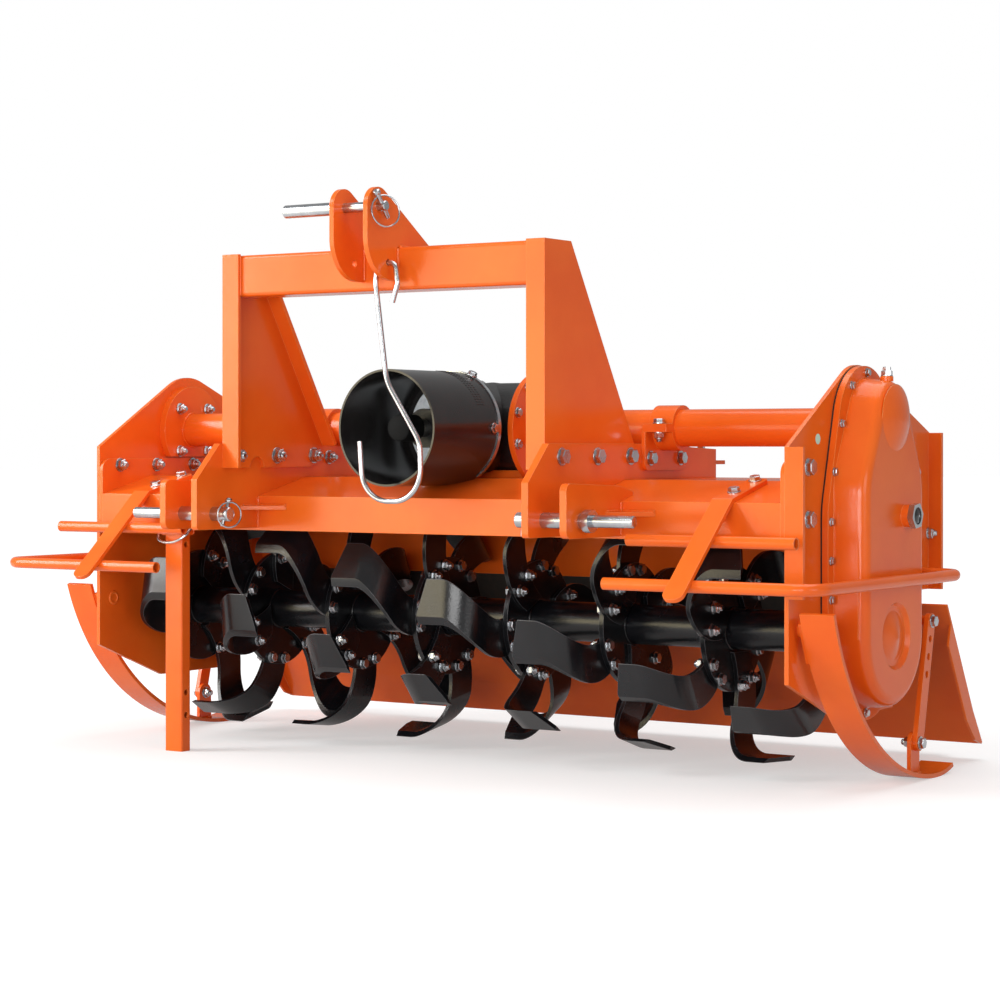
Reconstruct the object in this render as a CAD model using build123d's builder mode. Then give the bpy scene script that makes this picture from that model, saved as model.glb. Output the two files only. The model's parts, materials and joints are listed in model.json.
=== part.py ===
"""Three-point rotavator with chain side drive, parked on its skids and front stand.

Frame: origin on the floor below the rotor's axis, in the middle of the machine's width.
+X points to the chain case side, -Y to the tractor, +Z up.  All sizes are millimetres.
"""

import os
from math import atan2, cos, radians, sin, tan

from build123d import *

os.makedirs("parts", exist_ok=True)

# ---------------------------------------------------------------- driving dimensions
RIGHT, LEFT = 1, -1
SIDES = ((RIGHT, "right"), (LEFT, "left"))
FIT = 0.1  # radial gap of a turning or sliding fit
SEAT = 0.3  # gap between touching pieces of different bodies
HALF_LENGTH = 487  # front and rear extent from the origin

# shafts
ROTOR_Z = 276
AXLE_Z = 658

# hood, front beam and side plates
WIDTH_HALF = 800  # inner face of the side plates
SIDE_T = 8
END_T = 8
SHEET = 6
BEAM_FRONT = -286
BEAM_BOTTOM = 454
BEAM_TOP = 523
BEAM_DEPTH = 82
HOOD_Z = 560
HOOD_FRONT = -131
HOOD_REAR = 230
HOOD_TAIL_Y = 259
HOOD_TAIL_Z = 350
END_TOP = 597
END_REAR = 214
PLATE_REAR = 330
SHOULDER_FRONT_Z = 622
SHOULDER_REAR_Z = 649
CROWN_R = 115
PLATE_TOE_Z = 205
PLATE_SOLE_Z = 128
PLATE_SOLE_FRONT = -90
PLATE_NOTCH_Z = 344
TONGUE_REAR = 156
LIP_W = 28
LIP_FOOT_Z = 355

# hitch: link plates, outer ears, lower pins
HITCH_FRONT = -476
LINK_X = 375
LINK_T = 14
HITCH_FOOT_Z = 459
HITCH_NOSE_Z = 558
LINK_TOP_Z = 628
LINK_SLANT = 70
LINK_SHOULDER = -65
LINK_REAR_Z = 617
EAR_X = 455
LINK_CORNER_R = 15
EAR_OVER = 44
LOWER_PIN_Y = -424
LOWER_PIN_Z = 490
LOWER_PIN_R = 14
LOWER_STUB_R = 11
COLLAR_R = 20.5
PIN_HEAD_X = 333
COLLAR_X = 478
COLLAR_END_X = 492
STUB_END_X = 577
CROSS_HOLE_R = 5
GUSSET_Z = 496
GUSSET_T = 8
GUSSET_LEG = 72
GUSSET_DEPTH = 56

# headstock
UPRIGHT_T = 8
UPRIGHT_FLANGE = 40
UPRIGHT_FRONT = -398
UPRIGHT_TOP = 1000
UPRIGHT_FOOT = 580
UPRIGHT_TOP_REAR = -306
UPRIGHT_FOOT_REAR = -76
UPRIGHT_FOOT_R = 22
RIB_START = 34
CROSS_SIDE = 81
CROSS_WALL = 7
CROSS_DROP = 2
CLEVIS_GAP = 68
CLEVIS_T = 10
CLEVIS_R = 36
CLEVIS_CHIN_RISE = 14
CLEVIS_FOOT_DROP = 64
CLEVIS_HEEL_Y = -286
TOP_PIN_RISE = 72
TOP_PIN_R = 9.5
TOP_STUB_R = 12.5
TOP_PIN_RIGHT = 62
TOP_PIN_LEFT = -176
HOOK_Y = -421
HOOK_DROP = 32
HOOK_R = 5
HOOK_EYE_R = 6.5

# gearbox, drive stub, shield and cross tubes
GEAR_R = 92
GEAR_HALF = 110
GEAR_FACE = -141
GEAR_NOSE_R = 84
GEAR_COVER = 118
SEAL_R = 38
SEAL_FRONT = -243
SHAFT_R = 17.5
SHAFT_TIP = -321
SHAFT_TAIL = -160
SPLINE_END = -258
SPLINE_W = 8.7
SPLINE_DEPTH = 2.8
SHIELD_R = 112
SHIELD_WALL = 4
SHIELD_FRONT = -367
TUBE_R = 36
TUBE_WALL = 6
GEAR_FLANGE_T = 12
GEAR_FLANGE_R = 112
TUBE_FLANGE_R = 95
TUBE_FLANGE_T = 15
TUBE_FLANGE_DROP = 58
CLAMP_WALL = 8
CLAMP_W = 44
CLAMP_EAR = 24
BRACKET_T = 8
BRACKET_FRONT = -71
BRACKET_REAR = 89
BRACKET_FOOT = 576
BRACKET_TOP = 650

# chain case
CASE_TOP_R = 113
CASE_FOOT_R = 158
CASE_WAIST_Z = 490
GASKET_T = 3
CASE_FLANGE_T = 12
CASE_LIP = 22
CASE_DEPTH = 62
CASE_ROUND = 20
CASE_DRAFT = 8
CASE_BODY_TOP_R = 74
CASE_BODY_WAIST_Z = 535
DISH_R = 62
DISH_DEPTH = 8
DISH_CONE_R = 46
DISH_CONE_T = 11
CROWN_BULGE_R = 62
CROWN_BULGE_T = 14
SIGHT_Y = 39
SIGHT_Z = 495
SIGHT_R = 21
SIGHT_T = 14

# side guards
BAR_R = 11
BAR_WALL = 2.5
BAR_BORE = 40
ARM_X = 680
ARM_W = 40
ARM_T = 8
ARM_REAR = -146
ARM_TIP = -476
ARM_ANGLE = 41.5
UPPER_BAR_Y = -346
LOWER_BAR_Y = -430
BAR_INNER_X = 518
UPPER_BAR_OUTER_X = 853
HOOP_X = 928
HOOP_R = 44
HOOP_REAR = 202

# skids
SKID_INNER_X = 828
SKID_W = 66
SKID_T = 8
SKID_Y = 169
SKID_R = 477
SKID_HEEL_R = 240
SKID_RISE = 72
SKID_HEEL = 18
LUG_T = 8
LUG_R = 18
LUG_Y = -238
LUG_Z = 300
TAB_T = 8
TAB_W = 40
TAB_Z = 67
TAB_Y = 127
STAY_T = 10
STAY_W = 30
STAY_TOP_Y = 183
STAY_TOP_Z = 292
STAY_BOSS_R = 11
STAY_STEP = 34
BOLT_R = 7

# parking stand
LEG_X = -570
LEG_W = 45
LEG_D = 28
LEG_WALL = 4
LEG_TOP = 525
SLEEVE_WALL = 4
SLEEVE_FOOT = 441
SLEEVE_TOP = 515
LOCK_R = 5
LOCK_Z = 478
LEG_HOLES_Z = (74, 120, 422)

# tailboard and its stop rods
TAIL_HALF = 866
TAIL_T = 5
HINGE_Y = 269
HINGE_Z = 330
HINGE_ROD_R = 7
KNUCKLE_R = 12
KNUCKLE_W = 60
KNUCKLES_X = (-690, -230, 230, 690)
BOARD_START = 17
BOARD_FOLD = 267
BOARD_ANGLE = 59.6
BOARD_FOOT_Y = 452
BOARD_FOOT_Z = 32
FIN_START = 60
FIN_W = 30
FIN_T = 5
STIFF_HALF = 780
STIFF_DEPTH = 34
STIFF_RISE = 14
ROD_X = 343
ROD_R = 8
ROD_EYE_R = 16
ROD_EYE_T = 18
ROD_PIN_R = 7
ROD_PIN_Y = 391
ROD_PIN_Z = 205
ROD_OVER = 52
GUIDE_Y = 262
GUIDE_Z = 590
GUIDE_T = 8
GUIDE_SLOT_R = 11
GUIDE_SLOT_L = 50

# rotor
ROTOR_TUBE_R = 39
ROTOR_STUB_R = 24
ROTOR_END_GAP = 14
FLANGE_R = 120
FLANGE_T = 10
FLANGE_INSET = 35
FLANGE_COUNT = 8
FLANGE_TWIST = 16.5
BLADES_A_SIDE = 3
BLADE_T = 8
BLADE_PHASE = 80
BLADE_REACH = 242
BLADE_SPAN = 122
BLADE_BEND = 66
BLADE_W = 74
BLADE_ROOT_W = 60
BLADE_ROOT_Y = -14
BLADE_MID_Y = -38
BLADE_TIP_Y = 38
BLADE_SLANT = 22
BEARING_R = 72
BEARING_T = 34

# ---------------------------------------------------------------- derived positions
END_X = WIDTH_HALF - END_T
PLATE_OUT = WIDTH_HALF + SIDE_T
TOP_PIN_Y = CLEVIS_R - HALF_LENGTH
BEAM_SLOPE = atan2(HOOD_Z - BEAM_TOP, HOOD_FRONT - BEAM_FRONT)
CROSS_FRONT = UPRIGHT_FRONT + UPRIGHT_T
CROSS_TOP = UPRIGHT_TOP - CROSS_DROP
TOP_PIN_Z = CROSS_TOP + TOP_PIN_RISE
CLEVIS_CHIN_Z = CROSS_TOP + CLEVIS_CHIN_RISE
CLEVIS_FOOT_Z = CROSS_TOP - CLEVIS_FOOT_DROP
HOOK_Z = CROSS_TOP - HOOK_DROP
GASKET_OUT = PLATE_OUT + GASKET_T
CASE_FACE = GASKET_OUT + CASE_FLANGE_T + CASE_DEPTH
TAB_X = SKID_INNER_X + SKID_W / 2 + 1
ROTOR_END_X = WIDTH_HALF - ROTOR_END_GAP
FLANGE_FIRST = FLANGE_INSET - WIDTH_HALF
FLANGE_PITCH = -2 * FLANGE_FIRST / (FLANGE_COUNT - 1)


# ---------------------------------------------------------------- helpers
def save(part, name):
    """Label a finished piece and write its STEP file."""
    part.label = name
    export_step(part, f"parts/{name}.step")


def on_side(part, side):
    """The piece as built on the right, or its mirror image on the left."""
    return part if side == RIGHT else mirror(part, Plane.YZ)


def at_x(x):
    """Sketch plane at x whose axes are world Y and Z and whose normal is +X."""
    return Plane.YZ.offset(x)


def across(x, y, z):
    """Sketch plane for a round piece along +X, centred on the given point."""
    return Plane(origin=(x, y, z), x_dir=(0, 1, 0), z_dir=(1, 0, 0))


def sheet(points, thickness, side=Side.RIGHT):
    """Section of a folded sheet whose outer face follows the points."""
    with BuildSketch(Plane.XY, mode=Mode.PRIVATE) as section:
        with BuildLine():
            Polyline(*points)
            offset(amount=thickness, side=side)
        make_face()
    return section.sketch


def slope_z(y):
    """Height of the front beam's sloping top at y."""
    return BEAM_TOP + (y - BEAM_FRONT) * tan(BEAM_SLOPE)


# ---------------------------------------------------------------- hood and front beam
with BuildPart() as front_beam:
    with BuildSketch(at_x(-END_X)):
        with BuildLine():
            Polyline(
                (BEAM_FRONT, BEAM_BOTTOM),
                (BEAM_FRONT, BEAM_TOP),
                (HOOD_FRONT, HOOD_Z),
                (BEAM_FRONT + BEAM_DEPTH, BEAM_BOTTOM),
                close=True,
            )
        make_face()
        offset(amount=-SHEET, kind=Kind.INTERSECTION, mode=Mode.SUBTRACT)
    extrude(amount=2 * END_X)
save(front_beam.part, "front_beam")

with BuildPart() as hood:
    with BuildSketch(at_x(-END_X)):
        add(sheet(((HOOD_FRONT, HOOD_Z), (HOOD_REAR, HOOD_Z), (HOOD_TAIL_Y, HOOD_TAIL_Z)), SHEET))
    extrude(amount=2 * END_X)
    for x in KNUCKLES_X:
        with BuildSketch(at_x(x - KNUCKLE_W / 2)):
            with Locations((HINGE_Y, HINGE_Z)):
                Circle(KNUCKLE_R)
            with Locations((HOOD_TAIL_Y - SHEET / 2, HOOD_TAIL_Z + 14)):
                Circle(SHEET / 2)
            make_hull()
            with Locations((HINGE_Y, HINGE_Z)):
                Circle(HINGE_ROD_R + FIT, mode=Mode.SUBTRACT)
        extrude(amount=KNUCKLE_W)
save(hood.part, "hood")

for side, word in SIDES:
    with BuildPart() as hood_end:
        with BuildSketch(at_x(END_X)):
            with BuildLine():
                Polyline(
                    (BEAM_FRONT, BEAM_BOTTOM + SHEET),
                    (BEAM_FRONT, END_TOP),
                    (END_REAR, END_TOP),
                    (HOOD_REAR, HOOD_Z),
                    (HOOD_TAIL_Y - SHEET, HOOD_TAIL_Z + SHEET),
                    (END_REAR - SHEET, HOOD_TAIL_Z + SHEET),
                    (END_REAR - SHEET, HOOD_Z - 4 * SHEET),
                    (HOOD_FRONT, HOOD_Z - 4 * SHEET),
                    (HOOD_FRONT, BEAM_BOTTOM + SHEET),
                    close=True,
                )
            make_face()
        extrude(amount=END_T)
        fillet(hood_end.edges().filter_by(Axis.X).group_by(Axis.Z)[-1].sort_by(Axis.Y)[0], 24)
    save(on_side(hood_end.part, side), f"hood_end_{word}")

# ---------------------------------------------------------------- side plates
for side, word in SIDES:
    with BuildPart() as side_plate:
        with BuildSketch(at_x(WIDTH_HALF)):
            with Locations((0, AXLE_Z)):
                Circle(CROWN_R)
            Polygon(
                (BEAM_FRONT, PLATE_NOTCH_Z),
                (BEAM_FRONT, SHOULDER_FRONT_Z),
                (PLATE_REAR, SHOULDER_REAR_Z),
                (PLATE_REAR, PLATE_NOTCH_Z),
                align=None,
            )
            make_hull()
            Polygon(
                (BEAM_FRONT, PLATE_NOTCH_Z),
                (BEAM_FRONT, PLATE_TOE_Z),
                (PLATE_SOLE_FRONT, PLATE_SOLE_Z),
                (TONGUE_REAR, PLATE_SOLE_Z),
                (TONGUE_REAR, PLATE_NOTCH_Z),
                align=None,
            )
            with Locations((STAY_TOP_Y, STAY_TOP_Z)):
                Circle(2 * STAY_BOSS_R)
            Polygon(
                (STAY_TOP_Y, STAY_TOP_Z - 2 * STAY_BOSS_R),
                (TONGUE_REAR, STAY_TOP_Z - 3 * STAY_BOSS_R),
                (TONGUE_REAR, PLATE_NOTCH_Z),
                (STAY_TOP_Y + 2 * STAY_BOSS_R, PLATE_NOTCH_Z),
                (STAY_TOP_Y + 2 * STAY_BOSS_R, STAY_TOP_Z),
                align=None,
            )
            with Locations((0, ROTOR_Z)):
                Circle(ROTOR_STUB_R + FIT, mode=Mode.SUBTRACT)
        extrude(amount=SIDE_T)
        with BuildSketch(across(PLATE_OUT, STAY_TOP_Y, STAY_TOP_Z)):
            Circle(STAY_BOSS_R)
        extrude(amount=TAB_X + TAB_T / 2 - PLATE_OUT)
        if side == RIGHT:
            for lip_y, foot, head in (
                (BEAM_FRONT, LIP_FOOT_Z, SHOULDER_FRONT_Z),
                (PLATE_REAR - SIDE_T, PLATE_NOTCH_Z, SHOULDER_REAR_Z),
            ):
                with BuildSketch(at_x(PLATE_OUT)):
                    Polygon(
                        (lip_y, foot), (lip_y, head), (lip_y + SIDE_T, head), (lip_y + SIDE_T, foot), align=None
                    )
                extrude(amount=LIP_W)
    save(on_side(side_plate.part, side), f"side_plate_{word}")

with BuildPart() as bearing_cap:
    with BuildSketch(across(-PLATE_OUT, 0, ROTOR_Z)):
        Circle(BEARING_R)
    extrude(amount=-BEARING_T / 2)
    with BuildSketch(across(-PLATE_OUT - BEARING_T / 2, 0, ROTOR_Z)):
        Circle(BEARING_R * 0.7)
    extrude(amount=-BEARING_T / 2, taper=8)
    with BuildSketch(across(-PLATE_OUT, 0, ROTOR_Z)):
        Circle(ROTOR_STUB_R + FIT)
    extrude(amount=-BEARING_T / 2, mode=Mode.SUBTRACT)
save(bearing_cap.part, "bearing_cap")

# ---------------------------------------------------------------- hitch plates, ears and lower pins
for side, word in SIDES:
    with BuildPart() as link_plate:
        with BuildSketch(at_x(LINK_X)):
            Polygon(
                (HITCH_FRONT, HITCH_FOOT_Z),
                (HITCH_FRONT, HITCH_NOSE_Z),
                (HITCH_FRONT + LINK_SLANT, LINK_TOP_Z),
                (LINK_SHOULDER, LINK_TOP_Z),
                (HOOD_REAR, LINK_REAR_Z),
                (HOOD_REAR, HOOD_Z),
                (HOOD_FRONT, HOOD_Z),
                (BEAM_FRONT, BEAM_TOP),
                (BEAM_FRONT, HITCH_FOOT_Z),
                align=None,
            )
            with Locations((0, AXLE_Z)):
                Circle(TUBE_R, mode=Mode.SUBTRACT)
            with Locations((LOWER_PIN_Y, LOWER_PIN_Z)):
                Circle(LOWER_PIN_R, mode=Mode.SUBTRACT)
        extrude(amount=LINK_T)
        fillet(link_plate.edges().filter_by(Axis.X).group_by(Axis.Y)[0].sort_by(Axis.Z)[0], LINK_CORNER_R / 2)
        with BuildSketch(Plane.XY.offset(GUSSET_Z)):
            Polygon(
                (LINK_X, BEAM_FRONT),
                (LINK_X - GUSSET_LEG, BEAM_FRONT),
                (LINK_X, BEAM_FRONT - GUSSET_DEPTH),
                align=None,
            )
        extrude(amount=GUSSET_T)
    save(on_side(link_plate.part, side), f"link_plate_{word}")

    with BuildPart() as link_ear:
        with BuildSketch(at_x(EAR_X)):
            Polygon(
                (HITCH_FRONT, HITCH_FOOT_Z),
                (HITCH_FRONT, HITCH_NOSE_Z),
                (BEAM_FRONT, HITCH_NOSE_Z - LINK_CORNER_R / 2),
                (BEAM_FRONT + EAR_OVER, slope_z(BEAM_FRONT + EAR_OVER) + SHEET),
                (BEAM_FRONT + EAR_OVER, slope_z(BEAM_FRONT + EAR_OVER)),
                (BEAM_FRONT, BEAM_TOP),
                (BEAM_FRONT, HITCH_FOOT_Z),
                align=None,
            )
            with Locations((LOWER_PIN_Y, LOWER_PIN_Z)):
                Circle(LOWER_PIN_R, mode=Mode.SUBTRACT)
        extrude(amount=LINK_T)
        fillet(link_ear.edges().filter_by(Axis.X).group_by(Axis.Y)[0], LINK_CORNER_R)
        with BuildSketch(Plane.XY.offset(GUSSET_Z)):
            Polygon(
                (EAR_X + LINK_T, BEAM_FRONT),
                (EAR_X + LINK_T + GUSSET_LEG, BEAM_FRONT),
                (EAR_X + LINK_T, BEAM_FRONT - GUSSET_DEPTH),
                align=None,
            )
        extrude(amount=GUSSET_T)
    save(on_side(link_ear.part, side), f"link_ear_{word}")

    with BuildPart() as lower_pin:
        for start, end, radius in (
            (PIN_HEAD_X, COLLAR_X, LOWER_PIN_R),
            (COLLAR_X, COLLAR_END_X, COLLAR_R),
            (COLLAR_END_X, STUB_END_X, LOWER_STUB_R),
        ):
            with BuildSketch(across(start, LOWER_PIN_Y, LOWER_PIN_Z)):
                Circle(radius)
            extrude(amount=end - start)
        chamfer(lower_pin.faces().sort_by(Axis.X)[-1].edges(), 2)
        chamfer(lower_pin.faces().sort_by(Axis.X)[0].edges(), 2)
        for x in (PIN_HEAD_X + 14, STUB_END_X - 16):
            with BuildSketch(Plane.XY.offset(LOWER_PIN_Z)):
                with Locations((x, LOWER_PIN_Y)):
                    Circle(CROSS_HOLE_R)
            extrude(amount=2 * COLLAR_R, both=True, mode=Mode.SUBTRACT)
    save(on_side(lower_pin.part, side), f"lower_pin_{word}")

# ---------------------------------------------------------------- headstock
rear_run = Vector(UPRIGHT_FOOT_REAR - UPRIGHT_TOP_REAR, LINK_TOP_Z - UPRIGHT_TOP).normalized()
rib_top = Vector(UPRIGHT_TOP_REAR, UPRIGHT_TOP) + rear_run * RIB_START
for side, word in SIDES:
    with BuildPart() as upright:
        with BuildSketch(at_x(LINK_X - UPRIGHT_T)):
            Polygon(
                (UPRIGHT_FRONT, UPRIGHT_FOOT),
                (UPRIGHT_FRONT, UPRIGHT_TOP),
                (UPRIGHT_TOP_REAR, UPRIGHT_TOP),
                (UPRIGHT_FOOT_REAR, LINK_TOP_Z),
                (UPRIGHT_FOOT_REAR - 2 * UPRIGHT_FOOT_R, UPRIGHT_FOOT),
                align=None,
            )
            with Locations((UPRIGHT_TOP_REAR + UPRIGHT_T, UPRIGHT_FOOT)):
                Circle(UPRIGHT_FOOT_R, mode=Mode.SUBTRACT)
        extrude(amount=UPRIGHT_T)
        with BuildSketch(at_x(LINK_X - UPRIGHT_FLANGE)):
            Polygon(
                (UPRIGHT_FRONT, UPRIGHT_FOOT),
                (UPRIGHT_FRONT, UPRIGHT_TOP),
                (CROSS_FRONT, UPRIGHT_TOP),
                (CROSS_FRONT, UPRIGHT_FOOT),
                align=None,
            )
            add(
                sheet(
                    ((rib_top.X, rib_top.Y), (UPRIGHT_FOOT_REAR, LINK_TOP_Z)),
                    UPRIGHT_T,
                )
            )
        extrude(amount=UPRIGHT_FLANGE)
    save(on_side(upright.part, side), f"upright_{word}")

with BuildPart() as crossbeam:
    with BuildSketch(at_x(UPRIGHT_T - LINK_X)):
        with Locations((CROSS_FRONT + CROSS_SIDE / 2, CROSS_TOP - CROSS_SIDE / 2)):
            RectangleRounded(CROSS_SIDE, CROSS_SIDE, CROSS_WALL + 1)
            RectangleRounded(
                CROSS_SIDE - 2 * CROSS_WALL, CROSS_SIDE - 2 * CROSS_WALL, CROSS_WALL / 2, mode=Mode.SUBTRACT
            )
    extrude(amount=2 * (LINK_X - UPRIGHT_T))
save(crossbeam.part, "crossbeam")

for side, word in SIDES:
    with BuildPart() as top_plate:
        with BuildSketch(at_x(CLEVIS_GAP / 2)):
            with Locations((TOP_PIN_Y, TOP_PIN_Z)):
                Circle(CLEVIS_R)
            Polygon(
                (CLEVIS_HEEL_Y, CROSS_TOP),
                (CLEVIS_HEEL_Y, CROSS_TOP + SIDE_T),
                (CROSS_FRONT, CROSS_TOP),
                align=None,
            )
            make_hull()
            with BuildLine():
                chin = Line((-HALF_LENGTH, TOP_PIN_Z), (-HALF_LENGTH, CLEVIS_CHIN_Z))
                throat = TangentArc(chin @ 1, (CROSS_FRONT - 2 * SIDE_T, CLEVIS_FOOT_Z), tangent=chin % 1)
                Polyline(
                    throat @ 1,
                    (CROSS_FRONT, CLEVIS_FOOT_Z),
                    (CROSS_FRONT, CROSS_TOP),
                    (TOP_PIN_Y + CLEVIS_R, TOP_PIN_Z),
                    chin @ 0,
                )
            make_face()
            with Locations((TOP_PIN_Y, TOP_PIN_Z)):
                Circle(TOP_PIN_R, mode=Mode.SUBTRACT)
            with Locations((HOOK_Y, HOOK_Z + HOOK_EYE_R - HOOK_R - SEAT)):
                Circle(HOOK_EYE_R, mode=Mode.SUBTRACT)
        extrude(amount=CLEVIS_T)
    save(on_side(top_plate.part, side), f"top_link_plate_{word}")

with BuildPart() as top_pin:
    for start, end, radius in (
        (TOP_PIN_LEFT, -CLEVIS_GAP / 2 - CLEVIS_T, TOP_STUB_R),
        (-CLEVIS_GAP / 2 - CLEVIS_T, TOP_PIN_RIGHT, TOP_PIN_R),
    ):
        with BuildSketch(across(start, TOP_PIN_Y, TOP_PIN_Z)):
            Circle(radius)
        extrude(amount=end - start)
    chamfer(top_pin.faces().sort_by(Axis.X)[-1].edges(), 1.5)
    chamfer(top_pin.faces().sort_by(Axis.X)[0].edges(), 2.5)
    for x in (TOP_PIN_LEFT + 14, TOP_PIN_RIGHT - 9):
        with BuildSketch(Plane.XY.offset(TOP_PIN_Z)):
            with Locations((x, TOP_PIN_Y)):
                Circle(CROSS_HOLE_R - 1)
        extrude(amount=2 * TOP_STUB_R, both=True, mode=Mode.SUBTRACT)
save(top_pin.part, "top_link_pin")

# The hook hangs from the right top-link plate and carries the drive shaft when it is uncoupled.
HOOK_PATH = (
    # x, drop below the eye, bend radius
    (54, 74, 0),
    (66, 38, 16),
    (60, 0, 14),
    (18, 0, 14),
    (15, 36, 60),
    (40, 221, 90),
    (116, 336, 60),
    (120, 446, 60),
    (-14, 446, 60),
    (-22, 334, 0),
)
with BuildPart() as shaft_hook:
    with BuildLine(Plane(origin=(0, HOOK_Y, 0), x_dir=(1, 0, 0), z_dir=(0, -1, 0))) as hook_line:
        FilletPolyline(
            *[(x, HOOK_Z - drop) for x, drop, _ in HOOK_PATH],
            radius=[r for _, _, r in HOOK_PATH[1:-1]],
        )
    with BuildSketch(Plane(origin=hook_line.line @ 0, z_dir=hook_line.line % 0)):
        Circle(HOOK_R)
    sweep()
save(shaft_hook.part, "shaft_hook")

# ---------------------------------------------------------------- gearbox and drive stub
with BuildPart() as gearbox:
    with BuildSketch(across(-GEAR_HALF, 0, AXLE_Z)):
        Circle(GEAR_R)
    extrude(amount=2 * GEAR_HALF)
    with BuildSketch(Plane(origin=(0, GEAR_FACE, AXLE_Z), x_dir=(1, 0, 0), z_dir=(0, 1, 0))):
        Circle(GEAR_NOSE_R)
    extrude(amount=-GEAR_FACE, taper=-4)
    with BuildSketch(Plane(origin=(0, 0, AXLE_Z), x_dir=(1, 0, 0), z_dir=(0, 1, 0))):
        Circle(GEAR_NOSE_R - 8)
    extrude(amount=GEAR_COVER)
    with BuildSketch(Plane(origin=(0, SEAL_FRONT, AXLE_Z), x_dir=(1, 0, 0), z_dir=(0, 1, 0))):
        Circle(SEAL_R)
    extrude(amount=GEAR_FACE - SEAL_FRONT)
    with BuildSketch(Plane(origin=(0, SEAL_FRONT, AXLE_Z), x_dir=(1, 0, 0), z_dir=(0, 1, 0))):
        Circle(SHAFT_R + FIT)
    extrude(amount=SHAFT_TAIL - SEAL_FRONT + SEAT, mode=Mode.SUBTRACT)
save(gearbox.part, "gearbox")

with BuildPart() as pto_shaft:
    with BuildSketch(Plane(origin=(0, SHAFT_TIP, AXLE_Z), x_dir=(1, 0, 0), z_dir=(0, 1, 0))):
        Circle(SHAFT_R)
    extrude(amount=SHAFT_TAIL - SHAFT_TIP)
    chamfer(pto_shaft.faces().sort_by(Axis.Y)[0].edges(), 2.5)
    with BuildSketch(Plane(origin=(0, SHAFT_TIP, AXLE_Z), x_dir=(1, 0, 0), z_dir=(0, 1, 0))):
        with PolarLocations(SHAFT_R, 6):
            Rectangle(2 * SPLINE_DEPTH, SPLINE_W)
    extrude(amount=SPLINE_END - SHAFT_TIP, mode=Mode.SUBTRACT)
save(pto_shaft.part, "pto_shaft")

with BuildPart() as pto_shield:
    with BuildSketch(Plane(origin=(0, GEAR_FACE, AXLE_Z), x_dir=(1, 0, 0), z_dir=(0, 1, 0))):
        Circle(SHIELD_R)
    extrude(amount=SHIELD_FRONT - GEAR_FACE)
    with BuildSketch(Plane(origin=(0, SHIELD_FRONT, AXLE_Z), x_dir=(1, 0, 0), z_dir=(0, 1, 0))):
        Circle(SHIELD_R - SHIELD_WALL)
    extrude(amount=GEAR_FACE - SHIELD_FRONT - SHIELD_WALL, mode=Mode.SUBTRACT)
    with BuildSketch(Plane(origin=(0, GEAR_FACE, AXLE_Z), x_dir=(1, 0, 0), z_dir=(0, 1, 0))):
        Circle(SEAL_R + 20)
    extrude(amount=SHIELD_FRONT - GEAR_FACE, mode=Mode.SUBTRACT)
    with BuildSketch(at_x(0)):
        Polygon(
            (BEAM_FRONT, slope_z(BEAM_FRONT) + SEAT),
            (GEAR_FACE + 1, slope_z(GEAR_FACE) + SEAT),
            (GEAR_FACE + 1, BEAM_TOP - 2 * SHEET),
            (BEAM_FRONT, BEAM_TOP - 2 * SHEET),
            align=None,
        )
    extrude(amount=SHIELD_R, both=True, mode=Mode.SUBTRACT)
save(pto_shield.part, "pto_shield")

for side, word in SIDES:
    with BuildPart() as cross_tube:
        with BuildSketch(across(GEAR_HALF, 0, AXLE_Z)):
            Circle(GEAR_FLANGE_R)
            with Locations((0, HOOD_Z + SEAT - AXLE_Z - GEAR_FLANGE_R)):
                Rectangle(2 * GEAR_FLANGE_R, 2 * GEAR_FLANGE_R, mode=Mode.SUBTRACT)
        extrude(amount=GEAR_FLANGE_T)
        with BuildSketch(across(WIDTH_HALF - TUBE_FLANGE_T, 0, AXLE_Z)):
            Circle(TUBE_FLANGE_R)
            with Locations((0, -TUBE_FLANGE_DROP - TUBE_FLANGE_R / 2)):
                Rectangle(2 * TUBE_FLANGE_R, TUBE_FLANGE_R, mode=Mode.SUBTRACT)
        extrude(amount=TUBE_FLANGE_T)
        with BuildSketch(across(GEAR_HALF, 0, AXLE_Z)):
            Circle(TUBE_R)
        extrude(amount=WIDTH_HALF - GEAR_HALF)
        with BuildSketch(across(GEAR_HALF, 0, AXLE_Z)):
            Circle(TUBE_R - TUBE_WALL)
        extrude(amount=WIDTH_HALF - GEAR_HALF, mode=Mode.SUBTRACT)
    save(on_side(cross_tube.part, side), f"cross_tube_{word}")

    with BuildPart() as tube_clamp:
        with BuildSketch(at_x(LINK_X + LINK_T)):
            Polygon(
                (BRACKET_FRONT, BRACKET_FOOT),
                (BRACKET_FRONT, BRACKET_TOP),
                (BRACKET_REAR, BRACKET_TOP),
                (BRACKET_REAR, BRACKET_FOOT),
                align=None,
            )
        extrude(amount=BRACKET_T)
        fillet(tube_clamp.edges().filter_by(Axis.X).group_by(Axis.Z)[0], 2 * BRACKET_T)
        with BuildSketch(at_x(LINK_X + LINK_T)):
            with Locations((0, AXLE_Z)):
                Circle(TUBE_R + CLAMP_WALL)
                Rectangle(2 * (TUBE_R + CLAMP_WALL + CLAMP_EAR), 2 * CLAMP_WALL)
        extrude(amount=BRACKET_T + CLAMP_W)
        with BuildSketch(at_x(LINK_X + LINK_T)):
            with Locations((0, AXLE_Z)):
                Circle(TUBE_R)
        extrude(amount=BRACKET_T + CLAMP_W, mode=Mode.SUBTRACT)
    save(on_side(tube_clamp.part, side), f"tube_clamp_{word}")

# ---------------------------------------------------------------- chain case


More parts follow.
